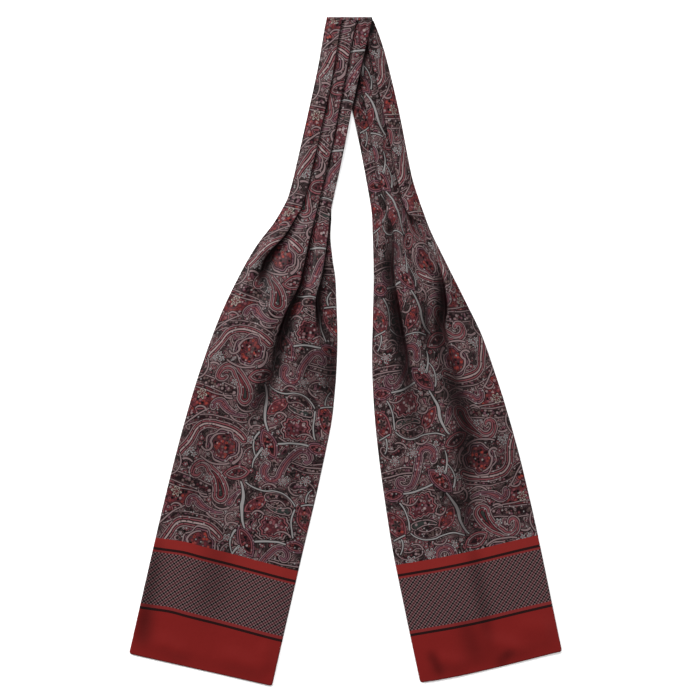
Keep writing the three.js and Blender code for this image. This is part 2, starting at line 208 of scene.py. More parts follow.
RIGHT = SimpleNamespace(
    name="right",
    angle=12.18,
    length=639.0,
    side=-1,
    lifted=False,
    reach=table("along outer inner", [
        (0, 21.8, 20.8), (20, 24.3, 19.4), (40, 26.0, 18.0), (100, 27.4, 16.5), (160, 26.3, 17.7),
        (190, 28.7, 19.2),
        (210, 31.2, 22.5), (250, 40.5, 30.2), (290, 50.8, 39.7), (330, 60.2, 49.0), (360, 63.9, 54.4),
        (400, 67.8, 59.8), (460, 71.0, 64.9), (520, 71.8, 67.9), (639, 71.0, 68.5),
    ]),
    pleats=[
        pleat_table([
            (0, -7.5, 180, 5, 0.8), (40, -10.8, 180, 5, 0.8), (82, -12.3, 180, 5, 0.8),
            (177, -11.6, 180, 5, 0.8), (191, -13.3, 140, 5, 0.8), (204, -16.2, 72, 4, 1.2),
            (222, -21.0, 34, 3.5, 1.6), (246, -28.0, 36, 3.5, 2.0), (265, -31.0, 68, 3.5, 2.2),
            (291, -29.0, 70, 4, 2.4), (315, -22.0, 60, 4, 2.4),
            (347, -23.5, 42, 3.5, 2.4), (377, -22.0, 18, 3, 2.4), (410, -20.0, 0, 3, 2.4),
        ]),
        pleat_table([
            (0, 4.5, 180, 5, 0.8), (96, 3.4, 180, 5, 0.8), (139, 5.6, 180, 5, 0.8),
            (188, 4.6, 160, 5, 0.8), (202, 5.2, 76, 4, 1.2), (216, 6.8, 46, 3.5, 1.6),
            (252, 15.0, 60, 3.5, 2.2),
            (295, 16.8, 60, 4, 2.4), (347, 19.0, 26, 3.5, 2.4), (390, 20.0, 0, 3, 2.4),
        ]),
    ],
    ridges=(1, 2, 1),
    strip_points=34,
    swell=table("along height", [
        (190, 0), (215, 1.5), (250, 3.4), (300, 3.2), (350, 1.8), (390, 0.7), (425, 0),
    ]),
    creases=table(CREASE_COLUMNS, [
        (-11, 238, 60, -24, 7, -1.5), (-18, 296, 80, -4, 7, -1.6), (-19, 340, 78, -4, 6, -2.2),
        (10, 304, 72, -8.5, 4, -1.5), (54, 302, 70, 14, 9, -0.6),
        (25, 300, 56, -20, 8, -1.7), (18, 332, 46, -4, 7, -1.2), (22, 372, 60, 7, 9, -2.5),
        (26, 408, 70, 4, 9, -2.1), (18, 434, 62, -3, 9, -2.2), (14, 464, 56, -14, 9, -1.0),
        (9, 490, 56, -5, 8, -1.5), (-5, 474, 40, 10, 7, -0.8), (6, 570, 150, -2, 7, -0.5),
        (40, 404, 110, -4, 10, 0.8),
        (-6, 380, 80, 3, 9, 0.4), (-21, 388, 60, 0, 9, -0.9), (46, 342, 70, -12, 7, 0.8),
        (54, 452, 110, -4, 12, -0.4),
        (-42, 440, 120, 5, 12, 0.7), (-24, 522, 130, 4, 14, 0.3), (36, 532, 130, -3, 14, 0.8),
        (20, 621, 60, 62, 9, 1.8), (16, 633, 30, -58, 5, -0.6), (-50, 624, 36, 14, 5, -0.7),
        (-12, 610, 64, 8, 10, -0.5), (52, 612, 56, 74, 11, 1.4), (-36, 624, 40, 64, 8, 1.3),
    ]),
    hem_bow=table("along shift", [(-70, 1.6), (-52, 2.6), (-25, 3.2), (5, 2.8), (35, 1.9), (70, 0.9)]),
    border_shift=table("along shift", [
        (-70, -0.1), (-52, 0.3), (-25, -0.2), (5, -0.9), (35, -0.9), (70, -1.4),
    ]),
    fold_shades=[
        table("along share", [
            (0, 0.6), (150, 0.6), (175, 1), (198, 0.9), (212, 0.4), (250, 0.4), (266, 0.9),
            (296, 1), (316, 0.6), (345, 0.45), (420, 0.4),
        ]),
        table("along share", [
            (0, 0.4), (180, 0.5), (200, 0.8), (214, 0.75), (240, 0.85), (262, 0.9), (280, 1), (420, 1),
        ]),
    ],
    print_slip=table("along shift", [(0, 2.5), (200, 2.5), (330, 0), (640, 0)]),
    print_shift=2.1,
    print_way=-1.0,
    print_start=54.0,
)

# Middle of the wall above the surface: alone in the neck, over the back layer in a blade
REST = table("along height", [(RELEASE, WALL / 2), (OVER_BACK, WALL * 1.5 + SEAM_GAP)])

# Slow sway of cloth that isn't pressed: height, and the length of a wave across and along
SWAYS = ((0.22, 182.0, 232.0, 0.4), (0.16, -107.0, 383.0, 1.7), (0.10, 61.0, -149.0, 2.6))


def smooth(value):
    """Eases from 0 to 1"""
    share = np.clip(value, 0, 1)
    return share * share * (3 - 2 * share)


def row_slopes(places, values):
    """Slopes at a table's rows, kept low enough that the curve never overshoots"""
    slopes = np.zeros(len(places))
    runs = np.diff(places)
    rises = np.diff(values) / runs
    product = rises[:-1] * rises[1:]
    weighted = rises[:-1] * runs[:-1] + rises[1:] * runs[1:]
    same_way = product > 0
    slopes[1:-1][same_way] = (product * (runs[:-1] + runs[1:]))[same_way] / weighted[same_way]
    return slopes


def read(rows, name, along):
    """Value of a table's column at places along the half, on a smooth curve through the rows"""
    places = rows["along"]
    values = rows[name]
    at = np.clip(along, places[0], places[-1])
    row = np.clip(np.searchsorted(places, at) - 1, 0, len(places) - 2)
    span = places[row + 1] - places[row]
    part = (at - places[row]) / span
    slopes = row_slopes(places, values)
    eased = values[row] + (values[row + 1] - values[row]) * part * part * (3 - 2 * part)
    first = slopes[row] * span * part * (1 - part) ** 2
    last = slopes[row + 1] * span * part * part * (part - 1)
    return eased + first + last


def column(values):
    """A value for each cross section, ready to spread over its points"""
    return np.asarray(values)[:, None]


def pleat_path(pleat, along):
    """One pleat's middle line, as steps across and up from the end of the strip that it folds under"""
    turn = column(np.radians(np.maximum(read(pleat, "turn", along), LEAST_TURN)))
    tuck = column(read(pleat, "tuck", along))
    bend = np.maximum(column(read(pleat, "bend", along)), OPEN_BEND_ARC / turn)
    share = np.linspace(0, 1, BEND_POINTS + 1)
    angle = turn * share[1:]
    first = (bend * np.sin(angle), bend * (np.cos(angle) - 1))
    along_tuck = tuck * np.linspace(0, 1, TUCK_POINTS + 2)[1:-1]
    back = (first[0][:, -1:] + along_tuck * np.cos(turn), first[1][:, -1:] - along_tuck * np.sin(turn))
    across = first[0][:, -1:] + tuck * np.cos(turn)
    up = first[1][:, -1:] - tuck * np.sin(turn)
    angle = turn * (1 - share)
    second = (across + bend * (np.sin(turn) - np.sin(angle)), up - bend * (np.cos(angle) - np.cos(turn)))
    return np.hstack([first[0], back[0], second[0]]), np.hstack([first[1], back[1], second[1]])


def corner_inset(to_hem, radius):
    """A hem corner takes the side in by the sagitta of its arc"""
    run = np.maximum(0, radius - to_hem)
    return radius - np.sqrt(np.maximum(radius * radius - run * run, 0))


def rest_height(half, along):
    """Middle of the upper wall above the surface. At the hem it rolls down to the surface."""
    rest = read(REST, "height", along)
    rolled = corner_inset(half.length - along, HEM_ROLL) / HEM_ROLL
    return rest - (rest - WALL / 2) * rolled


def arc_lengths(across, up):
    """Length along a cross section from its first point to each point"""
    steps = np.hypot(np.diff(across, axis=1), np.diff(up, axis=1))
    return np.hstack([np.zeros((len(across), 1)), np.cumsum(steps, axis=1)])


def upper_section(half, along):
    """The upper layer's cross sections: places across, heights, places on the flat cloth, and the shade
    painted beside its folds
    """
    rest = column(rest_height(half, along))
    drop = rest - WALL / 2
    swell = column(read(half.swell, "height", along))
    inset = column(corner_inset(half.length - along, HEM_CORNER)) + EDGE_INSET + SIDE_ROLL
    outer = inset - column(read(half.reach, "outer", along))
    inner = column(read(half.reach, "inner", along)) - inset
    share = np.linspace(0, 1, half.strip_points)
    outer_angle = np.pi / 2 * (1 - np.arange(EDGE_POINTS) / EDGE_POINTS)
    inner_angle = np.pi / 2 * np.arange(1, EDGE_POINTS + 1) / EDGE_POINTS
    stretches = []
    start = outer
    shown_from = outer
    for strip, ridges in enumerate(half.ridges):
        is_last = strip == len(half.pleats)
        if is_last:
            end = inner
            top = rest
            rise_to = end - STRIP_STEP
        else:
            pleat = half.pleats[strip]
            step_across, step_up = pleat_path(pleat, along)
            fold = column(read(pleat, "line", along)) - WALL / 2
            end = fold - np.maximum(0, step_across.max(axis=1, keepdims=True))
            under = np.maximum(0, -step_across.min(axis=1, keepdims=True))
            top = rest - step_up[:, -1:]
            rise_to = end - under - PLEAT_MARGIN
        rise_from = np.minimum(np.maximum(start, shown_from) + STRIP_STEP, rise_to - LEAST_RISE)
        most = np.minimum(swell, SWELL_SHARE * (rise_to - rise_from))
        billow = most * np.sin(ridges * np.pi * share) ** 2
        across = np.hstack([start, rise_from + (rise_to - rise_from) * share, end])
        up = np.hstack([rest, rest + (top - rest) * smooth(share) + billow, top])
        if strip == 0:
            across = np.hstack([outer - SIDE_ROLL * np.sin(outer_angle), across])
            up = np.hstack([rest - drop * (1 - np.cos(outer_angle)), up])
            dark = np.zeros_like(across)
        else:
            # Painted shade on the start of a strip, beside the fold that lies over it
            beside = np.maximum(across - shown_from, 0)
            dark = fold_dark * np.exp(-(beside / dark_width) ** 2)
        if is_last:
            across = np.hstack([across, inner + SIDE_ROLL * np.sin(inner_angle)])
            up = np.hstack([up, rest - drop * (1 - np.cos(inner_angle))])
            dark = np.hstack([dark, np.repeat(dark[:, -1:], EDGE_POINTS, axis=1)])
        stretches.append((across, up, None, dark))
        if not is_last:
            # Painted shade in each pleat: darker the further the pleat turns under, scaled by that pleat's
            # share
            turn = np.maximum(column(read(pleat, "turn", along)), 0)
            fold_shade_share = column(read(half.fold_shades[strip], "share", along))
            fold_dark = smooth(turn / FOLD_SHADE_TURN) * fold_shade_share
            dark_width = PRESSED_SHADE + OPEN_SHADE * (column(read(pleat, "bend", along)) - PRESSED_BEND)
            steps = step_across.shape[1] - 1
            dark = fold_dark * smooth((np.arange(steps) / steps - FOLD_SHADE_FROM) / FOLD_SHADE_OVER)
            stretches.append((end + step_across[:, :-1], top + step_up[:, :-1], turn / 180, dark))
            start = end + step_across[:, -1:]
            shown_from = fold + WALL / 2
    across, up, dark = (np.hstack([stretch[i] for stretch in stretches]) for i in (0, 1, 3))
    return across, up, flat_places(stretches), dark


def flat_places(stretches):
    """Places across the flat cloth: what shows lies at its own width, and each pleat takes in the rest"""
    lengths = [arc_lengths(across, up) for across, up, _, _ in stretches]
    open_share = [1 if turned is None else 1 - turned for _, _, turned, _ in stretches]
    shown = sum(length[:, -1:] * share for length, share in zip(lengths, open_share))
    folded = sum(1 - share for share in open_share)
    hidden = np.minimum((CUT_WIDTH - shown) / np.maximum(folded, LEAST_FOLDED), HIDDEN_MOST)
    stretch_by = (CUT_WIDTH - hidden * folded) / shown
    places = []
    start = -CUT_WIDTH / 2 * np.ones_like(shown)
    for length, share in zip(lengths, open_share):
        total = length[:, -1:]
        width = total * share * stretch_by + hidden * (1 - share)
        places.append(start + width * length / total)
        start = start + width
    return np.hstack(places)


def back_section(half, along):
    """The back layer's cross sections on the surface, with creases like the front's the other way round"""
    to_hem = half.length - BACK_INSET - along
    inset = column(corner_inset(to_hem, HEM_CORNER - BACK_INSET)) + BACK_INSET
    outer = inset - column(read(half.reach, "outer", along))
    inner = column(read(half.reach, "inner", along)) - inset
    share = np.linspace(0, 1, BACK_COLUMNS)
    across = outer + (inner - outer) * share
    flat = np.broadcast_to(CUT_WIDTH * (share - 0.5), across.shape)
    crease, _ = crease_height(half, -across * half.side, column(along))
    rise = BACK_RISE * np.tanh(SOFT_FLOOR * np.logaddexp(0, crease / SOFT_FLOOR))
    return across, WALL / 2 + rise, flat, np.zeros_like(across)


def directions(half):
    """Directions of a half on the surface: down its length, and across it to the viewer's right"""
    lean = math.radians(half.angle)
    return np.array([math.sin(lean), -math.cos(lean)]), np.array([math.cos(lean), math.sin(lean)])


def crease_height(half, across, along):
    """Height of the soft creases and the slow sway on a blade, and the depth of the troughs alone"""
    height = np.zeros(np.broadcast(across, along).shape)
    trough = np.zeros_like(height)
    for middle, place, length, lean, width, rise in zip(*half.creases.values()):
        facing = math.radians(lean)
        aside = across - middle
        down = along - place
        lengthwise = down * math.cos(facing) + aside * math.sin(facing)
        sideways = aside * math.cos(facing) - down * math.sin(facing)
        ends = smooth(CREASE_FADE / 2 - CREASE_FADE * np.abs(lengthwise) / length)
        crease = rise * ends * np.exp(-(sideways / width) ** 2)
        height += crease
        trough += np.maximum(-crease, 0)
    loose = smooth((along - RELEASE) / LOOSE_RUN)
    for size, wave_across, wave_along, phase in SWAYS:
        height += size * loose * np.sin(2 * np.pi * (across / wave_across + along / wave_along) + phase)
    return height, trough


def loft(half, across, along):
    """Rise of a blade's upper layer over the air in its tube"""
    outer = across + read(half.reach, "outer", along)
    inner = read(half.reach, "inner", along) - across
    to_hem = half.length - along
    inside = smooth(outer / LOFT_EDGE) * smooth(inner / LOFT_EDGE) * smooth(to_hem / LOFT_EDGE)
    return LOFT * inside * smooth((along - BACK_START) / LOOSE_RUN)


def creased(half, along, across, up, share):
    """Heights with the soft creases added. A trough stops softly over the back layer."""
    crease, trough = crease_height(half, across * half.side, along)
    raised = up + share * (crease + loft(half, across, along))
    least = np.minimum(up, WALL * 1.5 + SEAM_GAP) - TROUGH_MOST
    kept = least + SOFT_FLOOR * np.logaddexp(0, (raised - least) / SOFT_FLOOR)
    free = np.clip((up - WALL / 2) / (WALL + SEAM_GAP), 0, 1)
    return up + (kept - up) * free, trough * free


def lay_out(half, along, across, height):
    """Points of cross sections in the part's frame. Near the fold the sections run along the fold line."""
    down, right = directions(half)
    aside = across * half.side
    bow = read(half.hem_bow, "shift", aside) * smooth((along - BOW_FROM) / BOW_RUN)
    slant = -right[1] / down[1] * (1 - smooth(along / SQUARE_FROM))
    run = along + bow + aside * slant
    x = run * down[0] + aside * right[0]
    y = run * down[1] + aside * right[1]
    if half.lifted:
        over = x * directions(RIGHT)[1][0] + y * directions(RIGHT)[1][1]
        height = height + CROSSING_LIFT * smooth((over - CROSSING_EDGE + CROSSING_RUN) / CROSSING_RUN)
    return np.stack([FOLD_CENTRE[0] + x, FOLD_CENTRE[1] + y, height], axis=-1)


def stretch_of_cloth(half, section, along, crease_share):
    """Grid of points on one layer of a half, with its normals, its places on the print and the shade
    painted on it.

    The first and last places only serve the slopes at the ends, so that neighbours meet smoothly."""
    across, up, flat, dark = section(half, along)
    down = np.broadcast_to(column(along), across.shape)
    if crease_share > 0:
        up, trough = creased(half, down, across, up, crease_share)
        # Painted shade in the creases' troughs: the deeper a trough, the darker
        dark = 1 - (1 - dark) * np.exp(-TROUGH_SHADE * trough)
    points = lay_out(half, down, across, up)
    places = {
        "cloth_across": half.print_shift + flat,
        "cloth_down": half.print_start + half.print_way * (down + read(half.print_slip, "shift", down)),
        "from_hem": half.length - down - read(half.border_shift, "shift", across * half.side),
        "border_across": flat * half.side,
        # On the right half, a painted shadow beside the left neck's inner edge is added to the painted fold
        # shade
        "fold_shade": dark if half.lifted else np.maximum(dark, shade_beside_left(points)),
    }
    if half.side < 0:
        points = points[:, ::-1]
        places = {name: value[:, ::-1] for name, value in places.items()}
    normals = grid_normals(points)
    inside = slice(1, -1)
    return points[inside], normals[inside], {name: value[inside] for name, value in places.items()}


def shade_beside_left(points):
    """Shade that the left neck's inner edge casts on the right half"""
    down, right = directions(LEFT)
    offset = points[..., :2] - np.array(FOLD_CENTRE)
    along = offset @ down
    beside = np.maximum(offset @ right - read(LEFT.reach, "inner", along), 0)
    width = EDGE_SHADE * np.maximum(1 - along / EDGE_SHADE_RUN, EDGE_SHADE_LEAST)
    ending = smooth((EDGE_SHADE_END - along) / EDGE_SHADE_FADE)
    return np.exp(-(beside / width) ** EDGE_SHADE_POWER) * ending


def grid_normals(points):
    """Unit normals of a grid of points, on the side that faces up where it lies flat"""
    normals = np.cross(np.gradient(points, axis=0), np.gradient(points, axis=1))
    return normals / np.maximum(np.linalg.norm(normals, axis=-1, keepdims=True), TINY)


def places_along(first, last, step, ends=()):
    """Places of the cross sections from first to last, with closer ones before the end"""
    stop = last - (ends[0] if ends else 0)
    count = max(2, round((stop - first) / step) + 1)
    even = np.linspace(first, stop, count)
    closer = np.array([last - end for end in ends[1:]])
    inside = np.concatenate([even, closer])
    return np.concatenate([[first - END_STEP], inside, [last + (0 if ends else END_STEP)]])


def cloth_arrays(points, normals, thickness):
    """Corners, faces and face normals of a closed shell, half its thickness out on both sides"""
    rows, columns = points.shape[:2]
    count = rows * columns
    offset = normals * thickness / 2
    corners = np.concatenate([(points + offset).reshape(-1, 3), (points - offset).reshape(-1, 3)])
    number = np.arange(count).reshape(rows, columns)
    squares = (number[:-1, :-1], number[1:, :-1], number[1:, 1:], number[:-1, 1:])
    top = np.stack(squares, axis=-1).reshape(-1, 4)
    ring = np.concatenate([number[0, :-1], number[:-1, -1], number[-1, :0:-1], number[:0:-1, 0]])
    after = np.roll(ring, -1)
    rim = np.stack([ring, after, after + count, ring + count], axis=-1)
    flat = normals.reshape(-1, 3)
    rim_way = np.cross(corners[after] - corners[ring], corners[ring + count] - corners[ring])
    rim_way /= np.maximum(np.linalg.norm(rim_way, axis=1, keepdims=True), TINY)
    faces = np.concatenate([top, top[:, ::-1] + count, rim])
    ways = np.concatenate([flat[top], -flat[top[:, ::-1]], np.repeat(rim_way[:, None], 4, axis=1)])
    return corners, faces, ways


def make_cloth(name, shells, material):
    """One piece of cloth from its shells, with its places on the print and its painted shade kept on its
    points
    """
    corners = []
    faces = []
    ways = []
    places = {}
    for points, normals, printed, thickness in shells:
        first = sum(len(part) for part in corners)
        part_corners, part_faces, part_ways = cloth_arrays(points, normals, thickness)
        corners.append(part_corners)
        faces.append(part_faces + first)
        ways.append(part_ways)
        for key, value in printed.items():
            places.setdefault(key, []).append(np.tile(value.reshape(-1), 2))
    mesh = bpy.data.meshes.new(name)
    mesh.from_pydata((np.concatenate(corners) * MM).tolist(), [], np.concatenate(faces).tolist())
    mesh.polygons.foreach_set("use_smooth", np.ones(len(mesh.polygons), bool))
    mesh.normals_split_custom_set(np.concatenate(ways).reshape(-1, 3).tolist())
    for key, value in places.items():
        mesh.attributes.new(key, "FLOAT", "POINT").data.foreach_set("value", np.concatenate(value))
    mesh.materials.append(material)
    piece = bpy.data.objects.new(name, mesh)
    bpy.context.scene.collection.objects.link(piece)
    return piece


def add_piece(name, shells, nodes, flat):
    """Makes a piece, ties it to the body and hides the solids that it stands for"""
    piece = make_cloth(name, shells, printed_silk())
    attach(piece, BODY)
    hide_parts(*nodes)
    flat[0] * MM
    flat[1] * MM


def neck_start(half):
    """Place along a half where its neck leaves the turn"""
    return TURN_TOP / 2 / math.cos(math.radians(half.angle))


def make_half(half):
    """Back, front and neck of one half"""
    cloth = bpy.context.scene.cravat_cloth
    start = neck_start(half)
    back_end = half.length - BACK_INSET
    neck_width = arc_lengths(*upper_section(half, np.array([start, RELEASE]))[:2])[:, -1].mean()
    stretches = (
        ("back", "blade_back", back_section, places_along(BACK_START, back_end, BACK_STEP, HEM_STEPS), 0,
         (CUT_WIDTH - 2 * BACK_INSET, back_end - BACK_START), "laid", []),
        ("front", "blade_front", upper_section, places_along(RELEASE, half.length, BLADE_STEP, HEM_STEPS),
         cloth.crease_depth, (CUT_WIDTH, half.length - RELEASE), "laid", [f"{half.name}_cloth_back"]),
        ("neck", "neck_pleats", upper_section, places_along(start, RELEASE, NECK_STEP), 0,
         (neck_width, RELEASE - start), "folded", [] if half is RIGHT else ["right_cloth_neck"]),
    )
    for name, node, section, along, crease_share, flat, held, rests_on in stretches:
        shell = (*stretch_of_cloth(half, section, along, crease_share), cloth.silk_thickness / MM)
        add_piece(f"{half.name}_cloth_{name}", [shell], [f"{half.name}_{node}"], flat)


def make_turn():
    """The neck's turn over the fold line: layers of cloth round each other"""
    thick = bpy.context.scene.cravat_cloth.silk_thickness / MM
    down, right = directions(LEFT)
    start = neck_start(LEFT)
    across, up, flat, dark = (grid[0] for grid in upper_section(LEFT, np.array([start])))
    highest = np.array([up[np.abs(across - place) < PRESSED_BEND].max() for place in across])
    shown = up >= highest - SAME_HEIGHT
    order = np.argsort(across[shown])
    across, up, flat, dark = (values[shown][order] for values in (across, up, flat, dark))
    top = up + CROSSING_LIFT
    centre = TURN_TOP / 2
    share = column(np.linspace(1, 0, TURN_STEPS + 1))
    angle = np.pi * share
    widen = right[0] - right[1] / down[1] * down[0]
    x = FOLD_CENTRE[0] + across * widen + start * down[0] * np.cos(angle)
    radius = centre + (top + WALL / 2 - TURN_TOP) * (1 - smooth(2 * share))
    shells = []
    for layer_share in TURN_LAYERS:
        round_by = radius * layer_share - thick / 2
        y = FOLD_CENTRE[1] - centre + TURN_REACH * round_by * np.sin(angle)
        points = np.stack([x, y, centre + round_by * np.cos(angle)], axis=-1)
        along = start - round_by * angle
        printed = {
            "cloth_across": np.broadcast_to(flat, along.shape),
            "cloth_down": LEFT.print_start + along + LEFT.print_slip["shift"][0],
            "from_hem": LEFT.length - along,
            "border_across": np.broadcast_to(flat, along.shape),
            # Painted shade of the neck's folds: full where the turn meets the neck, none from halfway round
            "fold_shade": np.broadcast_to(dark, along.shape) * (1 - smooth(2 * share)),
        }
        shells.append((points, grid_normals(points), printed, thick))
    width = (across[-1] - across[0]) * sum(TURN_LAYERS)
    add_piece("neck_cloth_turn", shells, ["neck_turn"], (width, np.pi * centre))


# Shapes of the print, all in millimetres on the flat cloth: across, and down towards the left hem
REPEAT = 96.5
STRAIGHT_BOW = 0.01       # least bow of a stroke, for its length
SOFT_EDGE = 0.3           # run of one ink into the next
BEAD_SIZE = 2.9           # small beads and dots
BEAD_SCATTER = 0.9        # how unevenly they lie
BEAD_EDGE = 0.35          # share of that size from a bead's middle to its edge
BEAD_SOFTNESS = 0.2       # run of a bead's ink into the ink between, as such a share
BEAD_COVER = 2.5          # how fast the beads set in, inside a motif's rim
STAR_DEPTH = 0.3          # depth of a star's points, for its radius


class Reading:
    """A number that varies over the cloth: a shader node's output that sums are done with"""

    def __init__(self, tree, socket):
        self.tree = tree
        self.socket = socket

    def work(self, operation, *others, clamp=False):
        """This number taken through one sum"""
        node = self.tree.nodes.new("ShaderNodeMath")
        node.operation = operation
        node.use_clamp = clamp
        for slot, value in zip(node.inputs, (self, *others)):
            fill(self.tree, slot, value)
        return Reading(self.tree, node.outputs[0])

    def __add__(self, other):
        return self.work("ADD", other)

    def __sub__(self, other):
        return self.work("SUBTRACT", other)

    def __mul__(self, other):
        return self.work("MULTIPLY", other)

    def scaled(self, factor, offset, clamp=False):
        """This number times a factor, moved by an offset"""
        return self.work("MULTIPLY_ADD", factor, offset, clamp=clamp)


def fill(tree, slot, value):
    """Sets a node's socket to a plain value, or links it to a reading"""
    if isinstance(value, Reading):
        tree.links.new(value.socket, slot)
    else:
        slot.default_value = value


def hypotenuse(first, second):
    """Distance from two sides"""
    return second.work("MULTIPLY_ADD", second, first * first).work("SQRT")


class Cloth:
    """Places on the flat print, and the shapes that are drawn on it"""

    def __init__(self, across, down):
        self.across = across
        self.down = down

    def turned(self, centre, facing, offset=0.0):
        """Places measured from a motif's centre, with its length turned to the first axis"""
        aside = self.across - centre[0]
        below = (self.down - centre[1]).work("WRAP", REPEAT / 2, -REPEAT / 2)
        cosine = math.cos(facing)
        sine = math.sin(facing)
        lengthwise = below.work("MULTIPLY_ADD", sine, aside.scaled(cosine, offset))
        return lengthwise, below.work("MULTIPLY_ADD", cosine, aside * -sine)

    def stroke(self, start, middle, end, first_width, last_width):
        """Distance to a curved stroke through three points, half as wide as given at its ends"""
        centre, radius = circle_through(start, middle, end)
        angles = [math.atan2(point[1] - centre[1], point[0] - centre[0]) for point in (start, middle, end)]
        way = 1 if (angles[1] - angles[0]) % (2 * math.pi) < math.pi else -1
        span = ((angles[2] - angles[0]) * way) % (2 * math.pi)
        facing = angles[0] + way * span / 2
        top = (centre[0] + radius * math.cos(facing), centre[1] + radius * math.sin(facing))
        if way < 0:
            first_width, last_width = last_width, first_width
        out, aside = self.turned(top, facing, radius)
        length = radius * span
        along = aside.work("ARCTAN2", out).scaled(radius, length / 2)
        share = along.work("MULTIPLY", 1 / length, clamp=True)
        beyond = share.work("MULTIPLY_ADD", -length, along)
        distance = hypotenuse(hypotenuse(out, aside) - radius, beyond)
        return share.work("MULTIPLY_ADD", first_width - last_width, distance) - first_width

    def leaf(self, tip, other_tip, half_width):
        """Distance to a leaf between its two tips"""
        length = math.dist(tip, other_tip)
        centre = ((tip[0] + other_tip[0]) / 2, (tip[1] + other_tip[1]) / 2)
        facing = math.atan2(other_tip[1] - tip[1], other_tip[0] - tip[0])
        radius = (length * length / 4 + half_width * half_width) / (2 * half_width)
        out, aside = self.turned(centre, facing)
        return hypotenuse(out, aside.work("ABSOLUTE") + (radius - half_width)) - radius

    def rosette(self, centre, facing, half_length, half_width, lobes, depth):
        """Distance to a squarish medallion with lobes round its rim"""
        out, aside = self.turned(centre, math.radians(facing))
        square_out = out.work("MULTIPLY", out) * (1 / half_length ** 2)
        square_aside = aside.work("MULTIPLY", aside) * (1 / half_width ** 2)
        size = hypotenuse(square_out, square_aside).work("SQRT")
        shorter = min(half_length, half_width)
        rim = size.scaled(shorter, -shorter)
        lobed = (aside.work("ARCTAN2", out) * lobes).work("COSINE")
        return lobed.work("MULTIPLY_ADD", depth, rim)

    def star(self, centre, radius, points):
        """Distance to a star with soft points"""
        out, aside = self.turned(centre, 0)
        pointed = (aside.work("ARCTAN2", out) * points).work("COSINE")
        spread = pointed.work("MULTIPLY_ADD", -STAR_DEPTH * radius, hypotenuse(out, aside))
        return spread - (1 - STAR_DEPTH) * radius


def circle_through(start, middle, end):
    """Centre and radius of the circle through three points, bowed a little where they lie in line"""
    chord = (end[0] - start[0], end[1] - start[1])
    length = math.hypot(*chord)
    normal = (-chord[1] / length, chord[0] / length)
    bow = (middle[0] - start[0]) * normal[0] + (middle[1] - start[1]) * normal[1]
    least = STRAIGHT_BOW * length
    if abs(bow) < least:
        nudge = math.copysign(least, bow) - bow
        middle = (middle[0] + normal[0] * nudge, middle[1] + normal[1] * nudge)
    (ax, ay), (bx, by), (cx, cy) = start, middle, end
    twice = 2 * (ax * (by - cy) + bx * (cy - ay) + cx * (ay - by))
    a2, b2, c2 = ax * ax + ay * ay, bx * bx + by * by, cx * cx + cy * cy
    centre = (
        (a2 * (by - cy) + b2 * (cy - ay) + c2 * (ay - by)) / twice,
        (a2 * (cx - bx) + b2 * (ax - cx) + c2 * (bx - ax)) / twice,
    )
    return centre, math.dist(centre, start)


# Inks of the print, as they look on screen
INKS = {
    "night": (8, 2, 3),
    "soot": (25, 12, 14),
    "slate": (57, 41, 43),
    "grey": (85, 68, 65),
    "ash": (121, 101, 102),
    "pearl": (142, 123, 122),
    "silver": (148, 144, 144),
    "vine_grey": (134, 130, 130),
    "cream": (148, 136, 127),
    "mauve": (97, 65, 74),
    "rose": (112, 63, 68),
    "burgundy": (68, 31, 36),
    "crimson": (90, 37, 42),
    "red": (104, 43, 41),
    "scarlet": (130, 51, 44),
    "green": (42, 45, 43),
}

# Nested bands of each kind of motif from its rim inwards: how far the first stands out, then each one's
# ink and width
BANDS = {
    "patch": (0.5, (("soot", 0.6), ("rose", 1.2), ("soot", 0.6), ("burgundy", 9.0))),
    "plume": (1.2, (("soot", 0.8), ("ash", 0.9), ("soot", 0.6), ("slate", 5.0))),
    "arch": (4.8, (("soot", 0.5), ("ash", 0.9), ("night", 0.8), ("rose", 1.2), ("night", 1.0),
                   ("pearl", 2.0))),
    "boteh": (1.8, (("soot", 0.7), ("ash", 1.0), ("night", 0.7), ("rose", 1.3), ("soot", 0.6),
                    ("ash", 0.9), ("night", 0.8), ("crimson", 1.2), ("night", 0.6), ("green", 5.0))),
    "curl": (1.6, (("night", 0.7), ("ash", 0.9), ("night", 0.6), ("mauve", 1.2), ("soot", 0.6),
                   ("rose", 1.0), ("night", 0.5), ("ash", 3.0))),
    "leaf": (1.4, (("night", 0.8), ("rose", 1.3), ("night", 0.7), ("ash", 0.8), ("soot", 0.6),
                   ("burgundy", 5.0))),
    "red_leaf": (1.4, (("night", 0.7), ("mauve", 1.2), ("night", 0.7), ("rose", 1.0), ("soot", 0.6),
                       ("crimson", 5.0))),
    "medallion": (3.6, (("soot", 0.6), ("ash", 1.2), ("night", 0.9), ("mauve", 1.0), ("night", 0.8),
                        ("red", 9.0))),
    "cartouche": (1.6, (("night", 0.8), ("ash", 0.8), ("night", 0.9), ("rose", 1.1), ("night", 0.8),
                        ("burgundy", 9.0))),
    "boat": (1.0, (("night", 0.9), ("ash", 0.9), ("night", 1.2), ("green", 4.0))),
    "scroll": (0.7, (("night", 0.7), ("ash", 4.0))),
    "vine": (0.7, (("night", 0.75), ("vine_grey", 4.0))),
    "flower": (0.6, (("night", 0.6), ("silver", 0.9), ("soot", 0.7), ("rose", 0.9), ("night", 0.6),
                     ("silver", 3.0))),
    "star": (0.5, (("night", 0.6), ("cream", 1.2), ("night", 1.0), ("crimson", 3.0))),
    "dark_star": (0.4, (("burgundy", 0.5), ("grey", 0.7), ("night", 1.7), ("slate", 3.0))),
}

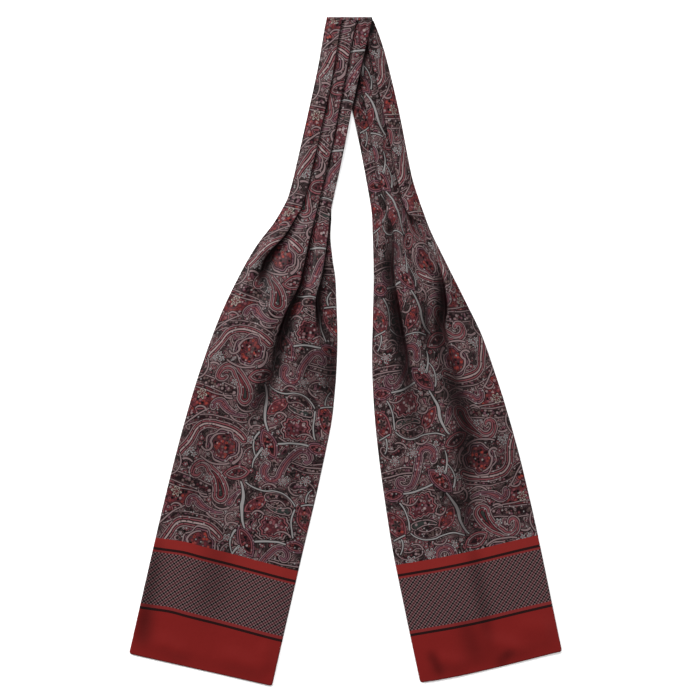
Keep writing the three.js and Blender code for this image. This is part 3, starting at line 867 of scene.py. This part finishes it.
# Small beads that fill some kinds: how far inside the rim they start, the ink between them, and the inks
# that are drawn by lot
BEADS = {
    "patch": (1.8, "burgundy", ("red", "crimson", "night", "rose", "scarlet", "crimson", "red", "ash")),
    "plume": (1.2, "soot", ("slate", "grey", "ash", "burgundy", "grey", "soot", "mauve")),
    "leaf": (3.2, "soot", ("burgundy", "night", "slate", "crimson", "ash", "soot")),
    "red_leaf": (2.6, "soot", ("crimson", "night", "red", "burgundy", "rose", "ash")),
    "medallion": (0.6, "burgundy", ("red", "scarlet", "soot", "crimson", "grey", "scarlet", "slate",
                                    "red", "night")),
    "boat": (1.0, "green", ("grey", "green", "slate", "ash", "green", "soot")),
    "cartouche": (2.6, "burgundy", ("crimson", "slate", "mauve", "soot", "ash", "rose", "burgundy",
                                    "pearl")),
}

# Motifs of one repeat. A stroke has its start, middle, end and the half widths at both ends.
PATCHES = (
    ("leaf", (-78, 48), (-34, 56), 9.0),
    ("leaf", (-74, 62), (-46, 58), 6.5),
    ("leaf", (58, 36), (70, 64), 7.8),
    ("leaf", (6, 57), (24, 38), 6.0),
    ("leaf", (-66, -34), (-60, -12), 5.0),
)
PLUMES = (
    ("stroke", (-72, 37), (-52, 39), (-32, 43), 5.0, 4.5),
    ("stroke", (-66, 80), (-40, 72), (-10, 80), 3.5, 3.0),
    ("stroke", (40, 2), (54, 3), (72, 0), 3.2, 4.5),
    ("stroke", (26, 38), (35, 36), (45, 41), 3.6, 3.0),
    ("stroke", (-9, 6), (-8, -2), (-2, -8), 2.6, 2.0),
    ("stroke", (48, 22), (58, 20), (66, 26), 4.0, 3.0),
)
ARCHES = (
    ("stroke", (-66, 14), (-61.2, 4), (-57, -7.5), 0.2, 0.2),
    ("stroke", (-57, -7.5), (-52.6, -14.6), (-44.8, -18.4), 0.2, 0.3),
    ("stroke", (-44.8, -18.4), (-28, -18.6), (-9.8, -10.8), 0.3, 0.2),
)
OUTER_ARCHES = (
    ("stroke", (-70, 86), (-60, 73), (-50, 64), 0.5, 0.5),
    ("stroke", (-66, 16), (-63, 27), (-71, 38), 0.5, 0.5),
    ("stroke", (40, 1), (54, 1.5), (72, 0), 0.4, 0.4),
    ("stroke", (-70, 46.5), (-50, 47.5), (-32, 48), 0.4, 0.4),
    ("stroke", (-46, 14), (-38, 17), (-18, 14), 0.6, 0.6),
)
BOTEHS = (
    ("stroke", (-19.3, 45.5), (-24.6, 32.5), (-33.8, 23.5), 7.4, 3.8),
    ("stroke", (-33.8, 23.5), (-44, 19.8), (-50.2, 28), 3.8, 2.2),
    ("stroke", (-50.2, 28), (-47, 33), (-42.6, 30), 2.2, 1.2),
)
CURLS = (
    ("stroke", (17.2, 9), (22.5, 21.5), (31.5, 12.5), 3.6, 3.2),
    ("stroke", (31.5, 12.5), (35.5, 1), (42, -9.5), 3.2, 2.6),
    ("stroke", (42, -9.5), (50.5, -12.8), (56.5, -7), 2.6, 2.2),
    ("stroke", (56.5, -7), (55, -3.5), (50.5, -4), 2.2, 1.4),
    ("stroke", (-46.5, 61), (-44, 55), (-37, 57), 2.4, 3.2),
    ("stroke", (-37, 57), (-27, 62.5), (-13, 62), 3.6, 1.0),
    ("stroke", (-8.5, 51), (-5.5, 45), (-1.5, 38.5), 3.4, 0.8),
)
LEAVES = (("leaf", (-20.2, 25.4), (2.1, 17.8), 6.2),)
RED_LEAVES = (
    ("leaf", (5.5, -24), (23.5, 0), 6.6),
    ("leaf", (51.5, -17.8), (72, -16.6), 5.2),
)
MEDALLIONS = (("rosette", (-28, -1), 45, 11.7, 11.0, 8, 0.7),)
CARTOUCHES = (("rosette", (36.8, 64.8), -4, 13.4, 10.2, 12, 0.7),)
BOATS = (("stroke", (26.5, 45.5), (37, 48.4), (46.5, 47.4), 1.6, 3.6),)
SCROLLS = (
    ("stroke", (-8, -20), (-4.5, -25.5), (3, -26.7), 0.4, 0.7),
    ("stroke", (-61, 20), (-57, 19), (-53, 20.5), 0.9, 0.6),
    ("stroke", (-47, 4), (-42, 6.5), (-40, -2), 0.7, 0.9),
    ("stroke", (-40, -2), (-37, -9), (-29, -13), 0.9, 0.4),
    ("stroke", (-10, -2), (-9, 6), (-14, 13), 0.5, 1.3),
    ("stroke", (-25, 54), (-17, 58.5), (-8, 56), 0.3, 0.7),
    ("stroke", (-4, 60), (-9, 66), (-5, 73), 0.4, 0.8),
    ("stroke", (18, 30), (24, 25), (31, 27), 0.4, 0.7),
    ("stroke", (43, 24), (46, 29), (53, 30), 0.7, 0.4),
    ("stroke", (14, 58), (19, 53), (25, 55), 0.4, 0.7),
    ("stroke", (22, 76), (36, 79.5), (50, 76), 0.4, 0.4),
    ("stroke", (-28, 66), (-20, 70), (-11, 68), 0.7, 0.4),
    ("stroke", (-62, 66), (-57, 62.5), (-52, 66), 0.4, 0.7),
    ("stroke", (40, -25), (47, -29), (55, -26), 0.4, 0.6),
    ("stroke", (-40, 46), (-36, 50), (-31, 50), 0.4, 0.6),
)
VINES = (
    ("stroke", (-3, 29.5), (2.2, 41), (2.8, 51), 0.6, 1.4),
    ("stroke", (2.8, 51), (5, 61), (10.5, 71.8), 1.4, 0.6),
    ("stroke", (1.4, 28.6), (14, 33.4), (28, 31.4), 0.45, 0.45),
    ("stroke", (28, 31.4), (42, 33.4), (51.4, 41), 0.45, 0.45),
    ("stroke", (52, 44.5), (52.5, 58), (57.4, 70.8), 0.65, 0.5),
    ("stroke", (23.4, -14.2), (37, -17.4), (51.5, -17.8), 0.8, 0.7),
    ("stroke", (2.6, -20.5), (0.4, -8), (4.4, 1.2), 0.8, 0.3),
    ("stroke", (9, -6), (5, 3), (4.2, 13.5), 1.0, 0.3),
    ("stroke", (57.5, 39.8), (62, 38.2), (69, 36.3), 0.5, 0.5),
    ("stroke", (61.5, 35.8), (61.3, 29), (64.5, 23), 0.6, 0.4),
)
FLOWERS = (
    ("star", (12.6, -2.4), 4.6, 5),
    ("star", (36.7, 18.5), 5.2, 6),
    ("star", (56, 15), 5.0, 5),
    ("star", (-56, 9.5), 3.0, 5),
    ("star", (-52.5, 13.5), 2.6, 5),
    ("star", (-59, 14), 2.4, 5),
    ("star", (-33, 33), 3.2, 5),
    ("star", (12, 22), 3.2, 5),
    ("star", (-3, 84), 3.4, 5),
)
STARS = (("star", (-60.6, 51.6), 5.2, 6),)
DARK_STARS = (("star", (64, 51), 4.8, 5),)

# The print's layers in the order they are laid on
LAYERS = (
    ("patch", PATCHES),
    ("plume", PLUMES),
    ("arch", ARCHES),
    ("curl", CURLS),
    ("boteh", BOTEHS),
    ("leaf", LEAVES),
    ("red_leaf", RED_LEAVES),
    ("medallion", MEDALLIONS),
    ("cartouche", CARTOUCHES),
    ("boat", BOATS),
    ("speckle", ()),
    ("scroll", OUTER_ARCHES + SCROLLS),
    ("vine", VINES),
    ("flower", FLOWERS),
    ("star", STARS),
    ("dark_star", DARK_STARS),
)

# The border, from the hem up: where each stripe starts and its ink. The gap is the woven-looking band.
BAND_FROM = 51.0
BAND_TO = 102.0
BORDER_TO = 115.2
HEM_STRIPES = (
    (0.0, "hem_red"), (45.5, "black_line"), (47.9, "dull_red"), (BAND_FROM, None),
    (BAND_TO, "dull_red"), (103.9, "black_line"), (106.3, "stripe_red"), (BORDER_TO, None),
)
STRIPES_SPAN = 0.9        # share of a colour ramp that the border takes up
BAND_CELL = 6.65          # repeat of the woven-looking band, across and along
FALLING_BARS = 0.22       # strength of the band's bars that fall, rise and lie level
RISING_BARS = 0.16
LEVEL_BARS = 0.3
BAND_RANGE = 6.0          # what the lattice's waves are divided by, for a depth from 0 to 1
DOT_EDGE = 0.37           # depth in the lattice where a dot starts
DOT_SOFTNESS = 0.2        # depth over which it sets in
RED_TO = 0.25             # share of a slanted line that is red, and where the other thread starts
OTHER_FROM = 0.6

# The ground between the motifs: scrolling lines, lighter and darker areas, and small blossoms
SCROLL_SIZE = 17.0
SCROLL_DETAIL = 0.8
SCROLL_LINES = 9.0        # rounds of the lines below, from the field's lowest place to its highest
GROUND_LINES = (
    (0.00, "soot"), (0.10, "soot"), (0.16, "grey"), (0.36, "ash"), (0.42, "soot"), (0.48, "soot"),
    (0.54, "burgundy"), (0.66, "mauve"), (0.71, "night"), (0.77, "night"), (0.83, "grey"), (0.95, "ash"),
    (1.00, "soot"),
)
AREA_SIZE = 13.0          # breadth of the lighter and darker areas
AREA_LIGHT = ((0.36, 0.3), (0.64, 1.38))
BLOSSOM_SIZE = 7.4        # from one blossom's place to the next
BLOSSOM_SCATTER = 0.85    # how unevenly they lie
BLOSSOM_SHARE = 0.72      # share of the places that have a blossom
PETALS = 5
PETAL_DEPTH = 0.05
PETAL_INKS = ("rose", "ash")
ROSE_SHARE = 0.6          # share of the blossoms that have the first of these inks
BLOSSOM_RINGS = (
    # from the middle outwards: place, ink or None for the petals', and cover
    (0.00, "silver", 1), (0.06, "silver", 1), (0.10, "night", 1), (0.14, "night", 1), (0.17, None, 1),
    (0.25, None, 1), (0.28, "night", 1), (0.32, "night", 1), (0.36, "night", 0),
)

# Fine dots over the motifs: cover from the middle outwards, and inks by lot with their cover
SPECKLE_COVER = ((0.00, 0.75), (0.18, 0.75), (0.32, 0.0))
SPECKLE_INKS = ((0.00, "night", 1), (0.24, "ash", 0.9), (0.32, "rose", 0.9), (0.42, "silver", 0.9),
                (0.50, "soot", 0))

# Unevenness of the drawn lines and of the twill
WOBBLE_SIZE = 17.0
WOBBLE_DETAIL = 0.5
WOBBLE = 2.4              # most that a line is moved, from side to side
RIB_PITCH = 0.9           # from one rib of the twill to the next, measured across
RIB_SHARE = 0.12
SLACK_SIZE = 7.0          # breadth of the slack places between
SLACK_DETAIL = 2.0
SLACK_SHARE = 2.4
TWILL_STRENGTH = 0.35
TWILL_DEPTH = 0.16


def linear(colour):
    """Screen colour, 0 to 1, as the light it stands for"""
    return tuple(c / 12.92 if c <= 0.04045 else ((c + 0.055) / 1.055) ** 2.4 for c in colour)


def ink(name):
    """An ink's colour as light, from the border's own settings or the print's list"""
    settings = bpy.context.scene.cravat_inks
    colour = getattr(settings, name) if hasattr(settings, name) else [c / 255 for c in INKS[name]]
    return tuple(c * settings.ink_strength for c in linear(colour))


def ramp(tree, position, stops, kind="LINEAR"):
    """Colour bands along a reading, from stops of place, colour and cover"""
    node = tree.nodes.new("ShaderNodeValToRGB")
    node.color_ramp.interpolation = kind
    elements = node.color_ramp.elements
    while len(elements) > 1:
        elements.remove(elements[-1])
    for i, (place, colour, cover) in enumerate(stops):
        element = elements[0] if i == 0 else elements.new(place)
        element.position = place
        element.color = (*colour, cover)
    fill(tree, node.inputs["Fac"], position)
    return node


def mix(tree, share, under, over, kind="MIX"):
    """One colour laid over another"""
    node = tree.nodes.new("ShaderNodeMix")
    node.data_type = "RGBA"
    node.blend_type = kind
    for slot, value in ((node.inputs[0], share), (node.inputs[6], under), (node.inputs[7], over)):
        if isinstance(value, bpy.types.NodeSocket):
            tree.links.new(value, slot)
        elif isinstance(value, tuple):
            slot.default_value = (*value, 1)
        else:
            fill(tree, slot, value)
    return node.outputs[2]


def nested_bands(tree, colour, distance, kind):
    """Lays a motif's nested bands over the print"""
    rim, bands = BANDS[kind]
    edges = [rim]
    for _, width in bands:
        edges.append(edges[-1] - width)
    span = rim + SOFT_EDGE - edges[-1]
    stops = [(0.0, ink(bands[0][0]), 0.0)]
    for (name, _), outside, inside in zip(bands, edges, edges[1:]):
        for edge in (outside, inside + SOFT_EDGE):
            stops.append(((rim + SOFT_EDGE - edge) / span, ink(name), 1.0))
    node = ramp(tree, distance.scaled(-1 / span, (rim + SOFT_EDGE) / span, clamp=True), stops)
    return mix(tree, node.outputs["Alpha"], colour, node.outputs["Color"])


def layer(tree, name, colour, readings, draw):
    """Lays one layer of the print over a colour, in a group of nodes of its own"""
    group = bpy.data.node_groups.new(name, "ShaderNodeTree")
    group.interface.new_socket("colour", in_out="OUTPUT", socket_type="NodeSocketColor")
    group.interface.new_socket("colour", in_out="INPUT", socket_type="NodeSocketColor")
    for key in readings:
        group.interface.new_socket(key, in_out="INPUT", socket_type="NodeSocketFloat")
    start = group.nodes.new("NodeGroupInput")
    inside = {key: Reading(group, start.outputs[key]) for key in readings}
    drawn = draw(group, start.outputs["colour"], **inside)
    end = group.nodes.new("NodeGroupOutput")
    group.links.new(drawn, end.inputs["colour"])
    node = tree.nodes.new("ShaderNodeGroup")
    node.node_tree = group
    for key, reading in readings.items():
        fill(tree, node.inputs[key], reading)
    if colour is not None:
        tree.links.new(colour, node.inputs["colour"])
    return node.outputs["colour"]


def motif_layer(kind, motifs):
    """How to draw all the motifs of one kind, run together where they meet"""
    def draw(tree, colour, across, down, bead, bead_lot):
        cloth = Cloth(across, down)
        distance = None
        for shape, *sizes in motifs:
            this = getattr(cloth, shape)(*sizes)
            distance = this if distance is None else distance.work("MINIMUM", this)
        colour = nested_bands(tree, colour, distance, kind)
        if kind in BEADS:
            inset, gap, inks = BEADS[kind]
            cover = distance.scaled(-BEAD_COVER, -BEAD_COVER * inset, clamp=True)
            colour = mix(tree, cover, colour, beads(tree, bead, bead_lot, gap, inks))
        return colour
    return draw


def lot(tree, spots, channel):
    """A random number for each spot, from 0 to 1"""
    parts = tree.nodes.new("ShaderNodeSeparateColor")
    tree.links.new(spots.outputs["Color"], parts.inputs[0])
    return Reading(tree, parts.outputs[channel])


def beads(tree, bead, bead_lot, gap, inks):
    """Close round beads, each in an ink drawn by lot"""
    stops = [(i / len(inks), ink(name), 1) for i, name in enumerate(inks)]
    colour = ramp(tree, bead_lot, stops, "CONSTANT").outputs["Color"]
    between = bead.scaled(1 / BEAD_SOFTNESS, -BEAD_EDGE / BEAD_SOFTNESS, clamp=True)
    return mix(tree, between, colour, ink(gap))


def noise(tree, vector, size, detail):
    """Soft random field over the cloth, about as broad as given"""
    node = tree.nodes.new("ShaderNodeTexNoise")
    node.noise_dimensions = "2D"
    node.inputs["Scale"].default_value = 1 / size
    node.inputs["Detail"].default_value = detail
    tree.links.new(vector, node.inputs["Vector"])
    return node


def cells(tree, vector, size, randomness):
    """Scattered spots, about as far apart as given"""
    node = tree.nodes.new("ShaderNodeTexVoronoi")
    node.voronoi_dimensions = "2D"
    node.inputs["Scale"].default_value = 1 / size
    node.inputs["Randomness"].default_value = randomness
    tree.links.new(vector, node.inputs["Vector"])
    return node


def filler(tree, _, across, down):
    """Close scrolling ground between the motifs: nested lines with small blossoms"""
    vector = place_vector(tree, across, down)
    field = Reading(tree, noise(tree, vector, SCROLL_SIZE, SCROLL_DETAIL).outputs["Fac"])
    lines = (field * SCROLL_LINES).work("FRACT")
    ground = ramp(tree, lines, [(place, ink(name), 1) for place, name in GROUND_LINES]).outputs["Color"]
    broad = Reading(tree, noise(tree, vector, AREA_SIZE, 0.0).outputs["Fac"])
    light = ramp(tree, broad, [(place, (level,) * 3, 1) for place, level in AREA_LIGHT]).outputs["Color"]
    ground = mix(tree, 1.0, ground, light, "MULTIPLY")
    spots = cells(tree, vector, BLOSSOM_SIZE, BLOSSOM_SCATTER)
    place = tree.nodes.new("ShaderNodeSeparateXYZ")
    tree.links.new(spots.outputs["Position"], place.inputs[0])
    out = across - Reading(tree, place.outputs[0])
    aside = down - Reading(tree, place.outputs[1])
    petals = (aside.work("ARCTAN2", out) * PETALS).work("COSINE")
    size = petals.work("MULTIPLY_ADD", -PETAL_DEPTH, Reading(tree, spots.outputs["Distance"]))
    rose, ash = (
        ramp(tree, size, [(ring, ink(name or petal), cover) for ring, name, cover in BLOSSOM_RINGS])
        for petal in PETAL_INKS
    )
    other = lot(tree, spots, 0).work("GREATER_THAN", ROSE_SHARE)
    blossom = mix(tree, other, rose.outputs["Color"], ash.outputs["Color"])
    cover = Reading(tree, ash.outputs["Alpha"]) * lot(tree, spots, 1).work("LESS_THAN", BLOSSOM_SHARE)
    return mix(tree, cover, ground, blossom)


def speckle(tree, colour, bead, dot_lot):
    """Fine dots over the motifs, some pale and most dark"""
    dot = ramp(tree, bead, [(place, (1, 1, 1), cover) for place, cover in SPECKLE_COVER])
    inks = [(place, ink(name), cover) for place, name, cover in SPECKLE_INKS]
    choice = ramp(tree, dot_lot, inks, "CONSTANT")
    cover = Reading(tree, dot.outputs["Alpha"]) * Reading(tree, choice.outputs["Alpha"])
    return mix(tree, cover, colour, choice.outputs["Color"])


def wave(reading, length):
    """Even wave along a reading, from -1 to 1"""
    return (reading * (2 * math.pi / length)).work("COSINE")


def woven_band(tree, across, from_hem):
    """Woven-looking band of the border: dots in a slanted lattice, dark and red in turn"""
    rising = across + from_hem
    falling = across - from_hem
    spots = wave(rising, BAND_CELL / 2) + wave(falling, BAND_CELL / 2)
    bars = wave(falling, BAND_CELL) * FALLING_BARS + wave(rising, BAND_CELL) * RISING_BARS
    bars = bars + wave(from_hem, BAND_CELL / 2) * LEVEL_BARS
    depth = (spots + bars).scaled(1 / BAND_RANGE, 0.5)
    lines = wave(falling, BAND_CELL).scaled(0.5, 0.5)
    threads, dots = (
        ramp(tree, lines, [(RED_TO, ink(red), 1), (OTHER_FROM, ink(other), 1)]).outputs["Color"]
        for red, other in (("band_red", "band_light"), ("red_dot", "dark_dot"))
    )
    cover = depth.scaled(1 / DOT_SOFTNESS, -DOT_EDGE / DOT_SOFTNESS, clamp=True)
    return mix(tree, cover, threads, dots)


def border(tree, colour, across, from_hem):
    """The red hem, its lines and the woven-looking band, laid over the print"""
    inside = from_hem.work("LESS_THAN", BORDER_TO)
    colour = mix(tree, inside, colour, woven_band(tree, across, from_hem))
    span = STRIPES_SPAN / BORDER_TO
    stops = [(start * span, ink(name or "black_line"), 1 if name else 0) for start, name in HEM_STRIPES]
    stripes = ramp(tree, from_hem * span, stops, "CONSTANT")
    return mix(tree, stripes.outputs["Alpha"], colour, stripes.outputs["Color"])


def attribute(tree, name):
    """A place on the print, or the painted shade, kept on the cloth's points"""
    node = tree.nodes.new("ShaderNodeAttribute")
    node.attribute_name = name
    return Reading(tree, node.outputs["Fac"])


def place_vector(tree, across, down):
    """A place on the print as one vector"""
    node = tree.nodes.new("ShaderNodeCombineXYZ")
    fill(tree, node.inputs[0], across)
    fill(tree, node.inputs[1], down)
    return node.outputs[0]


def hand_drawn(tree, across, down):
    """Places moved a little, so that no line of the print is quite even"""
    wobble = noise(tree, place_vector(tree, across, down), WOBBLE_SIZE, WOBBLE_DETAIL)
    parts = tree.nodes.new("ShaderNodeSeparateColor")
    tree.links.new(wobble.outputs["Color"], parts.inputs[0])
    moved = [Reading(tree, parts.outputs[i]).scaled(WOBBLE, -WOBBLE / 2) for i in (0, 1)]
    return across + moved[0], down + moved[1]


def twill_bump(tree, across, down):
    """Fine slanted ribs of the twill, with the unevenness of hand-finished silk"""
    ribs = ((across + down) * (2 * math.pi / RIB_PITCH)).work("SINE")
    uneven = noise(tree, place_vector(tree, across, down), SLACK_SIZE, SLACK_DETAIL)
    node = tree.nodes.new("ShaderNodeBump")
    node.inputs["Strength"].default_value = TWILL_STRENGTH
    node.inputs["Distance"].default_value = TWILL_DEPTH * MM
    height = Reading(tree, uneven.outputs["Fac"]).scaled(SLACK_SHARE, ribs * RIB_SHARE)
    fill(tree, node.inputs["Height"], height)
    return node.outputs["Normal"]


def printed_silk():
    """The printed silk twill that the whole cravat is cut from, with shade painted into its colour in the
    folds
    """
    name = "printed silk twill"
    if name in bpy.data.materials:
        return bpy.data.materials[name]
    material = bpy.data.materials.new(name)
    material.use_nodes = True
    tree = material.node_tree
    tree.nodes.clear()
    across = attribute(tree, "cloth_across")
    down = attribute(tree, "cloth_down")
    from_hem = attribute(tree, "from_hem")
    drawn_across, drawn_down = hand_drawn(tree, across, down)
    vector = place_vector(tree, drawn_across, drawn_down)
    drawn = {"across": drawn_across, "down": drawn_down}
    spots = cells(tree, vector, BEAD_SIZE, BEAD_SCATTER)
    bead = Reading(tree, spots.outputs["Distance"])
    beaded = {**drawn, "bead": bead, "bead_lot": lot(tree, spots, 0)}
    colour = layer(tree, "ground", None, drawn, filler)
    for kind, motifs in LAYERS:
        if kind == "speckle":
            colour = layer(tree, kind, colour, {"bead": bead, "dot_lot": lot(tree, spots, 2)}, speckle)
        else:
            colour = layer(tree, kind, colour, beaded, motif_layer(kind, motifs))
    along_hem = {"across": attribute(tree, "border_across"), "from_hem": from_hem}
    colour = layer(tree, "border", colour, along_hem, border)
    # Painted shade: where the fold_shade attribute is high, the colour is darkened towards a dark red tint
    # of itself
    deepest = mix(tree, 1.0, colour, SHADE_TINT, "MULTIPLY")
    colour = mix(tree, attribute(tree, "fold_shade"), colour, deepest)
    settings = bpy.context.scene.cravat_cloth
    shader = tree.nodes.new("ShaderNodeBsdfPrincipled")
    shader.inputs["Roughness"].default_value = settings.roughness
    shader.inputs["Specular IOR Level"].default_value = settings.gloss
    tree.links.new(colour, shader.inputs["Base Color"])
    tree.links.new(twill_bump(tree, across, down), shader.inputs["Normal"])
    output = tree.nodes.new("ShaderNodeOutputMaterial")
    tree.links.new(shader.outputs[0], output.inputs["Surface"])
    return material


# The stage: where the camera stands, and soft lights round the cloth
CAMERA_ABOVE = (4.28, 0.6)   # millimetres across and up the picture
SENSOR = 36.0
FLOOR_ROUGHNESS = 0.9
FLOOR_GLOSS = 0.1
LIGHTS = (
    # name, place in metres, size in metres, share of the light
    ("window_left", (-1.6, 0.9, 0.95), 0.8, 0.49),
    ("window_right", (1.6, -0.1, 1.25), 1.3, 0.135),
    ("window_top", (0.1, 1.6, 1.35), 1.3, 0.42),
    ("window_foot", (-0.1, -1.65, 1.3), 1.3, 0.05),
)


def make_camera(stage):
    """Camera straight above the cloth"""
    lens = bpy.data.cameras.new("camera")
    lens.sensor_width = SENSOR
    lens.lens = SENSOR * stage.camera_height / stage.view_width
    camera = bpy.data.objects.new("camera", lens)
    camera.location = (CAMERA_ABOVE[0] * MM, CAMERA_ABOVE[1] * MM, stage.camera_height)
    bpy.context.scene.collection.objects.link(camera)
    bpy.context.scene.camera = camera


def make_floor(stage):
    """Plain pale floor under the cloth"""
    mesh = bpy.data.meshes.new("floor")
    half = stage.floor_size / 2
    corners = [(-half, -half, 0), (half, -half, 0), (half, half, 0), (-half, half, 0)]
    mesh.from_pydata(corners, [], [(0, 1, 2, 3)])
    floor = bpy.data.objects.new("floor", mesh)
    bpy.context.scene.collection.objects.link(floor)
    material = bpy.data.materials.new("pale floor")
    material.use_nodes = True
    shader = material.node_tree.nodes["Principled BSDF"]
    shader.inputs["Base Color"].default_value = (*linear(stage.floor_colour), 1)
    shader.inputs["Roughness"].default_value = FLOOR_ROUGHNESS
    shader.inputs["Specular IOR Level"].default_value = FLOOR_GLOSS
    mesh.materials.append(material)


def make_lights(stage):
    """Soft studio light from four sides, with a dim even sky"""
    for name, place, size, share in LIGHTS:
        light = bpy.data.lights.new(name, "AREA")
        light.shape = "SQUARE"
        light.size = size
        light.energy = stage.light_power * share
        lamp = bpy.data.objects.new(name, light)
        lamp.location = place
        lamp.rotation_euler = (-Vector(place)).to_track_quat("-Z", "Y").to_euler()
        bpy.context.scene.collection.objects.link(lamp)
    world = bpy.data.worlds.new("studio")
    world.use_nodes = True
    background = world.node_tree.nodes["Background"]
    background.inputs["Color"].default_value = (1, 1, 1, 1)
    background.inputs["Strength"].default_value = stage.sky_strength
    bpy.context.scene.world = world
    bpy.context.scene.view_settings.view_transform = "Standard"


def colour_setting(name, description, red, green, blue):
    """A colour, as it looks on screen"""
    default = (red / 255, green / 255, blue / 255)
    return FloatVectorProperty(name=name, description=description, default=default, min=0, max=1,
                               size=3, subtype="COLOR_GAMMA")


def share_setting(name, description, default, least=0, most=1):
    """A share of something"""
    return FloatProperty(name=name, description=description, default=default, min=least, max=most,
                         subtype="FACTOR")


def length_setting(name, description, default, least, most):
    """A length in metres"""
    return FloatProperty(name=name, description=description, default=default, min=least, max=most,
                         unit="LENGTH", precision=5)


class CravatCloth(bpy.types.PropertyGroup):
    """Settings of the silk"""

    silk_thickness: length_setting("Silk thickness", "Thickness of one layer of silk",
                                   0.0005, 0.0002, 0.001)
    crease_depth: share_setting("Crease depth", "Share of the soft creases' full height", 1.0, most=1.5)
    roughness: share_setting("Roughness", "Roughness of the silk's surface", 0.5)
    gloss: share_setting("Gloss", "Strength of the silk's reflections", 0.065)


class CravatInks(bpy.types.PropertyGroup):
    """Colours of the border, and the strength of the print"""

    hem_red: colour_setting("Hem red", "Red of the hem", 116, 25, 23)
    stripe_red: colour_setting("Stripe red", "Red of the stripe above the band", 124, 33, 30)
    black_line: colour_setting("Black line", "Dark lines beside the stripes", 34, 12, 12)
    dull_red: colour_setting("Dull red", "Thin red line beside the band", 116, 36, 36)
    band_light: colour_setting("Band light", "Pale threads of the woven-looking band", 111, 92, 92)
    band_red: colour_setting("Band red", "Red threads of the woven-looking band", 109, 70, 73)
    red_dot: colour_setting("Red dot", "Red dots of the woven-looking band", 46, 19, 24)
    dark_dot: colour_setting("Dark dot", "Dark dots of the woven-looking band", 9, 4, 5)
    ink_strength: share_setting("Ink strength", "Lightness of all the inks under these lights",
                                0.62, 0.2, 2)


class CravatStage(bpy.types.PropertyGroup):
    """Settings of the stage"""

    camera_height: length_setting("Camera height", "Height of the camera above the floor", 3.0, 1, 10)
    view_width: length_setting("View width", "Width of floor that the picture shows", 0.6734, 0.3, 2)
    floor_size: length_setting("Floor size", "Length of the floor's sides", 14.0, 2, 40)
    floor_colour: colour_setting("Floor colour", "Colour of the floor", 246, 246, 246)
    light_power: FloatProperty(name="Light power", description="Power of all the lamps together",
                               default=118.0, min=1, max=500, unit="POWER")
    sky_strength: share_setting("Sky strength", "Strength of the even light from all round", 0.33, most=2)


class CRAVAT_OT_stage(bpy.types.Operator):
    """Make the camera, the pale floor and the lights"""

    bl_idname = "cravat.stage"
    bl_label = "Stage"

    def execute(self, context):
        stage = context.scene.cravat_stage
        make_camera(stage)
        make_floor(stage)
        make_lights(stage)
        return {"FINISHED"}


class CRAVAT_OT_right_half(bpy.types.Operator):
    """Make the right half: its back, its gathered front and its neck"""

    bl_idname = "cravat.right_half"
    bl_label = "Right half"

    def execute(self, context):
        make_half(RIGHT)
        return {"FINISHED"}


class CRAVAT_OT_left_half(bpy.types.Operator):
    """Make the left half: its back, its pleated front and its neck"""

    bl_idname = "cravat.left_half"
    bl_label = "Left half"

    def execute(self, context):
        make_half(LEFT)
        return {"FINISHED"}


class CRAVAT_OT_neck_turn(bpy.types.Operator):
    """Make the turn where the neck is folded over"""

    bl_idname = "cravat.neck_turn"
    bl_label = "Neck turn"

    def execute(self, context):
        make_turn()
        return {"FINISHED"}


class CRAVAT_PT_sidebar(bpy.types.Panel):
    """Settings and pieces of the cravat"""

    bl_idname = "CRAVAT_PT_sidebar"
    bl_label = "Silk cravat"
    bl_space_type = "VIEW_3D"
    bl_region_type = "UI"
    bl_category = "Cravat"

    def draw(self, context):
        for settings in (context.scene.cravat_cloth, context.scene.cravat_inks, context.scene.cravat_stage):
            box = self.layout.box()
            for name in settings.__annotations__:
                box.prop(settings, name)
        for operator in OPERATORS:
            self.layout.operator(operator.bl_idname)


SETTINGS = {"cravat_cloth": CravatCloth, "cravat_inks": CravatInks, "cravat_stage": CravatStage}
OPERATORS = (CRAVAT_OT_stage, CRAVAT_OT_right_half, CRAVAT_OT_left_half, CRAVAT_OT_neck_turn)


def register():
    for kind in (*SETTINGS.values(), *OPERATORS, CRAVAT_PT_sidebar):
        bpy.utils.register_class(kind)
    for name, kind in SETTINGS.items():
        setattr(bpy.types.Scene, name, PointerProperty(type=kind))


def unregister():
    for name in SETTINGS:
        delattr(bpy.types.Scene, name)
    for kind in (CRAVAT_PT_sidebar, *OPERATORS, *SETTINGS.values()):
        bpy.utils.unregister_class(kind)


def main():
    register()
    bpy.ops.cravat.stage()
    bpy.ops.cravat.right_half()
    bpy.ops.cravat.left_half()
    bpy.ops.cravat.neck_turn()


if __name__ == "__main__":
    main()
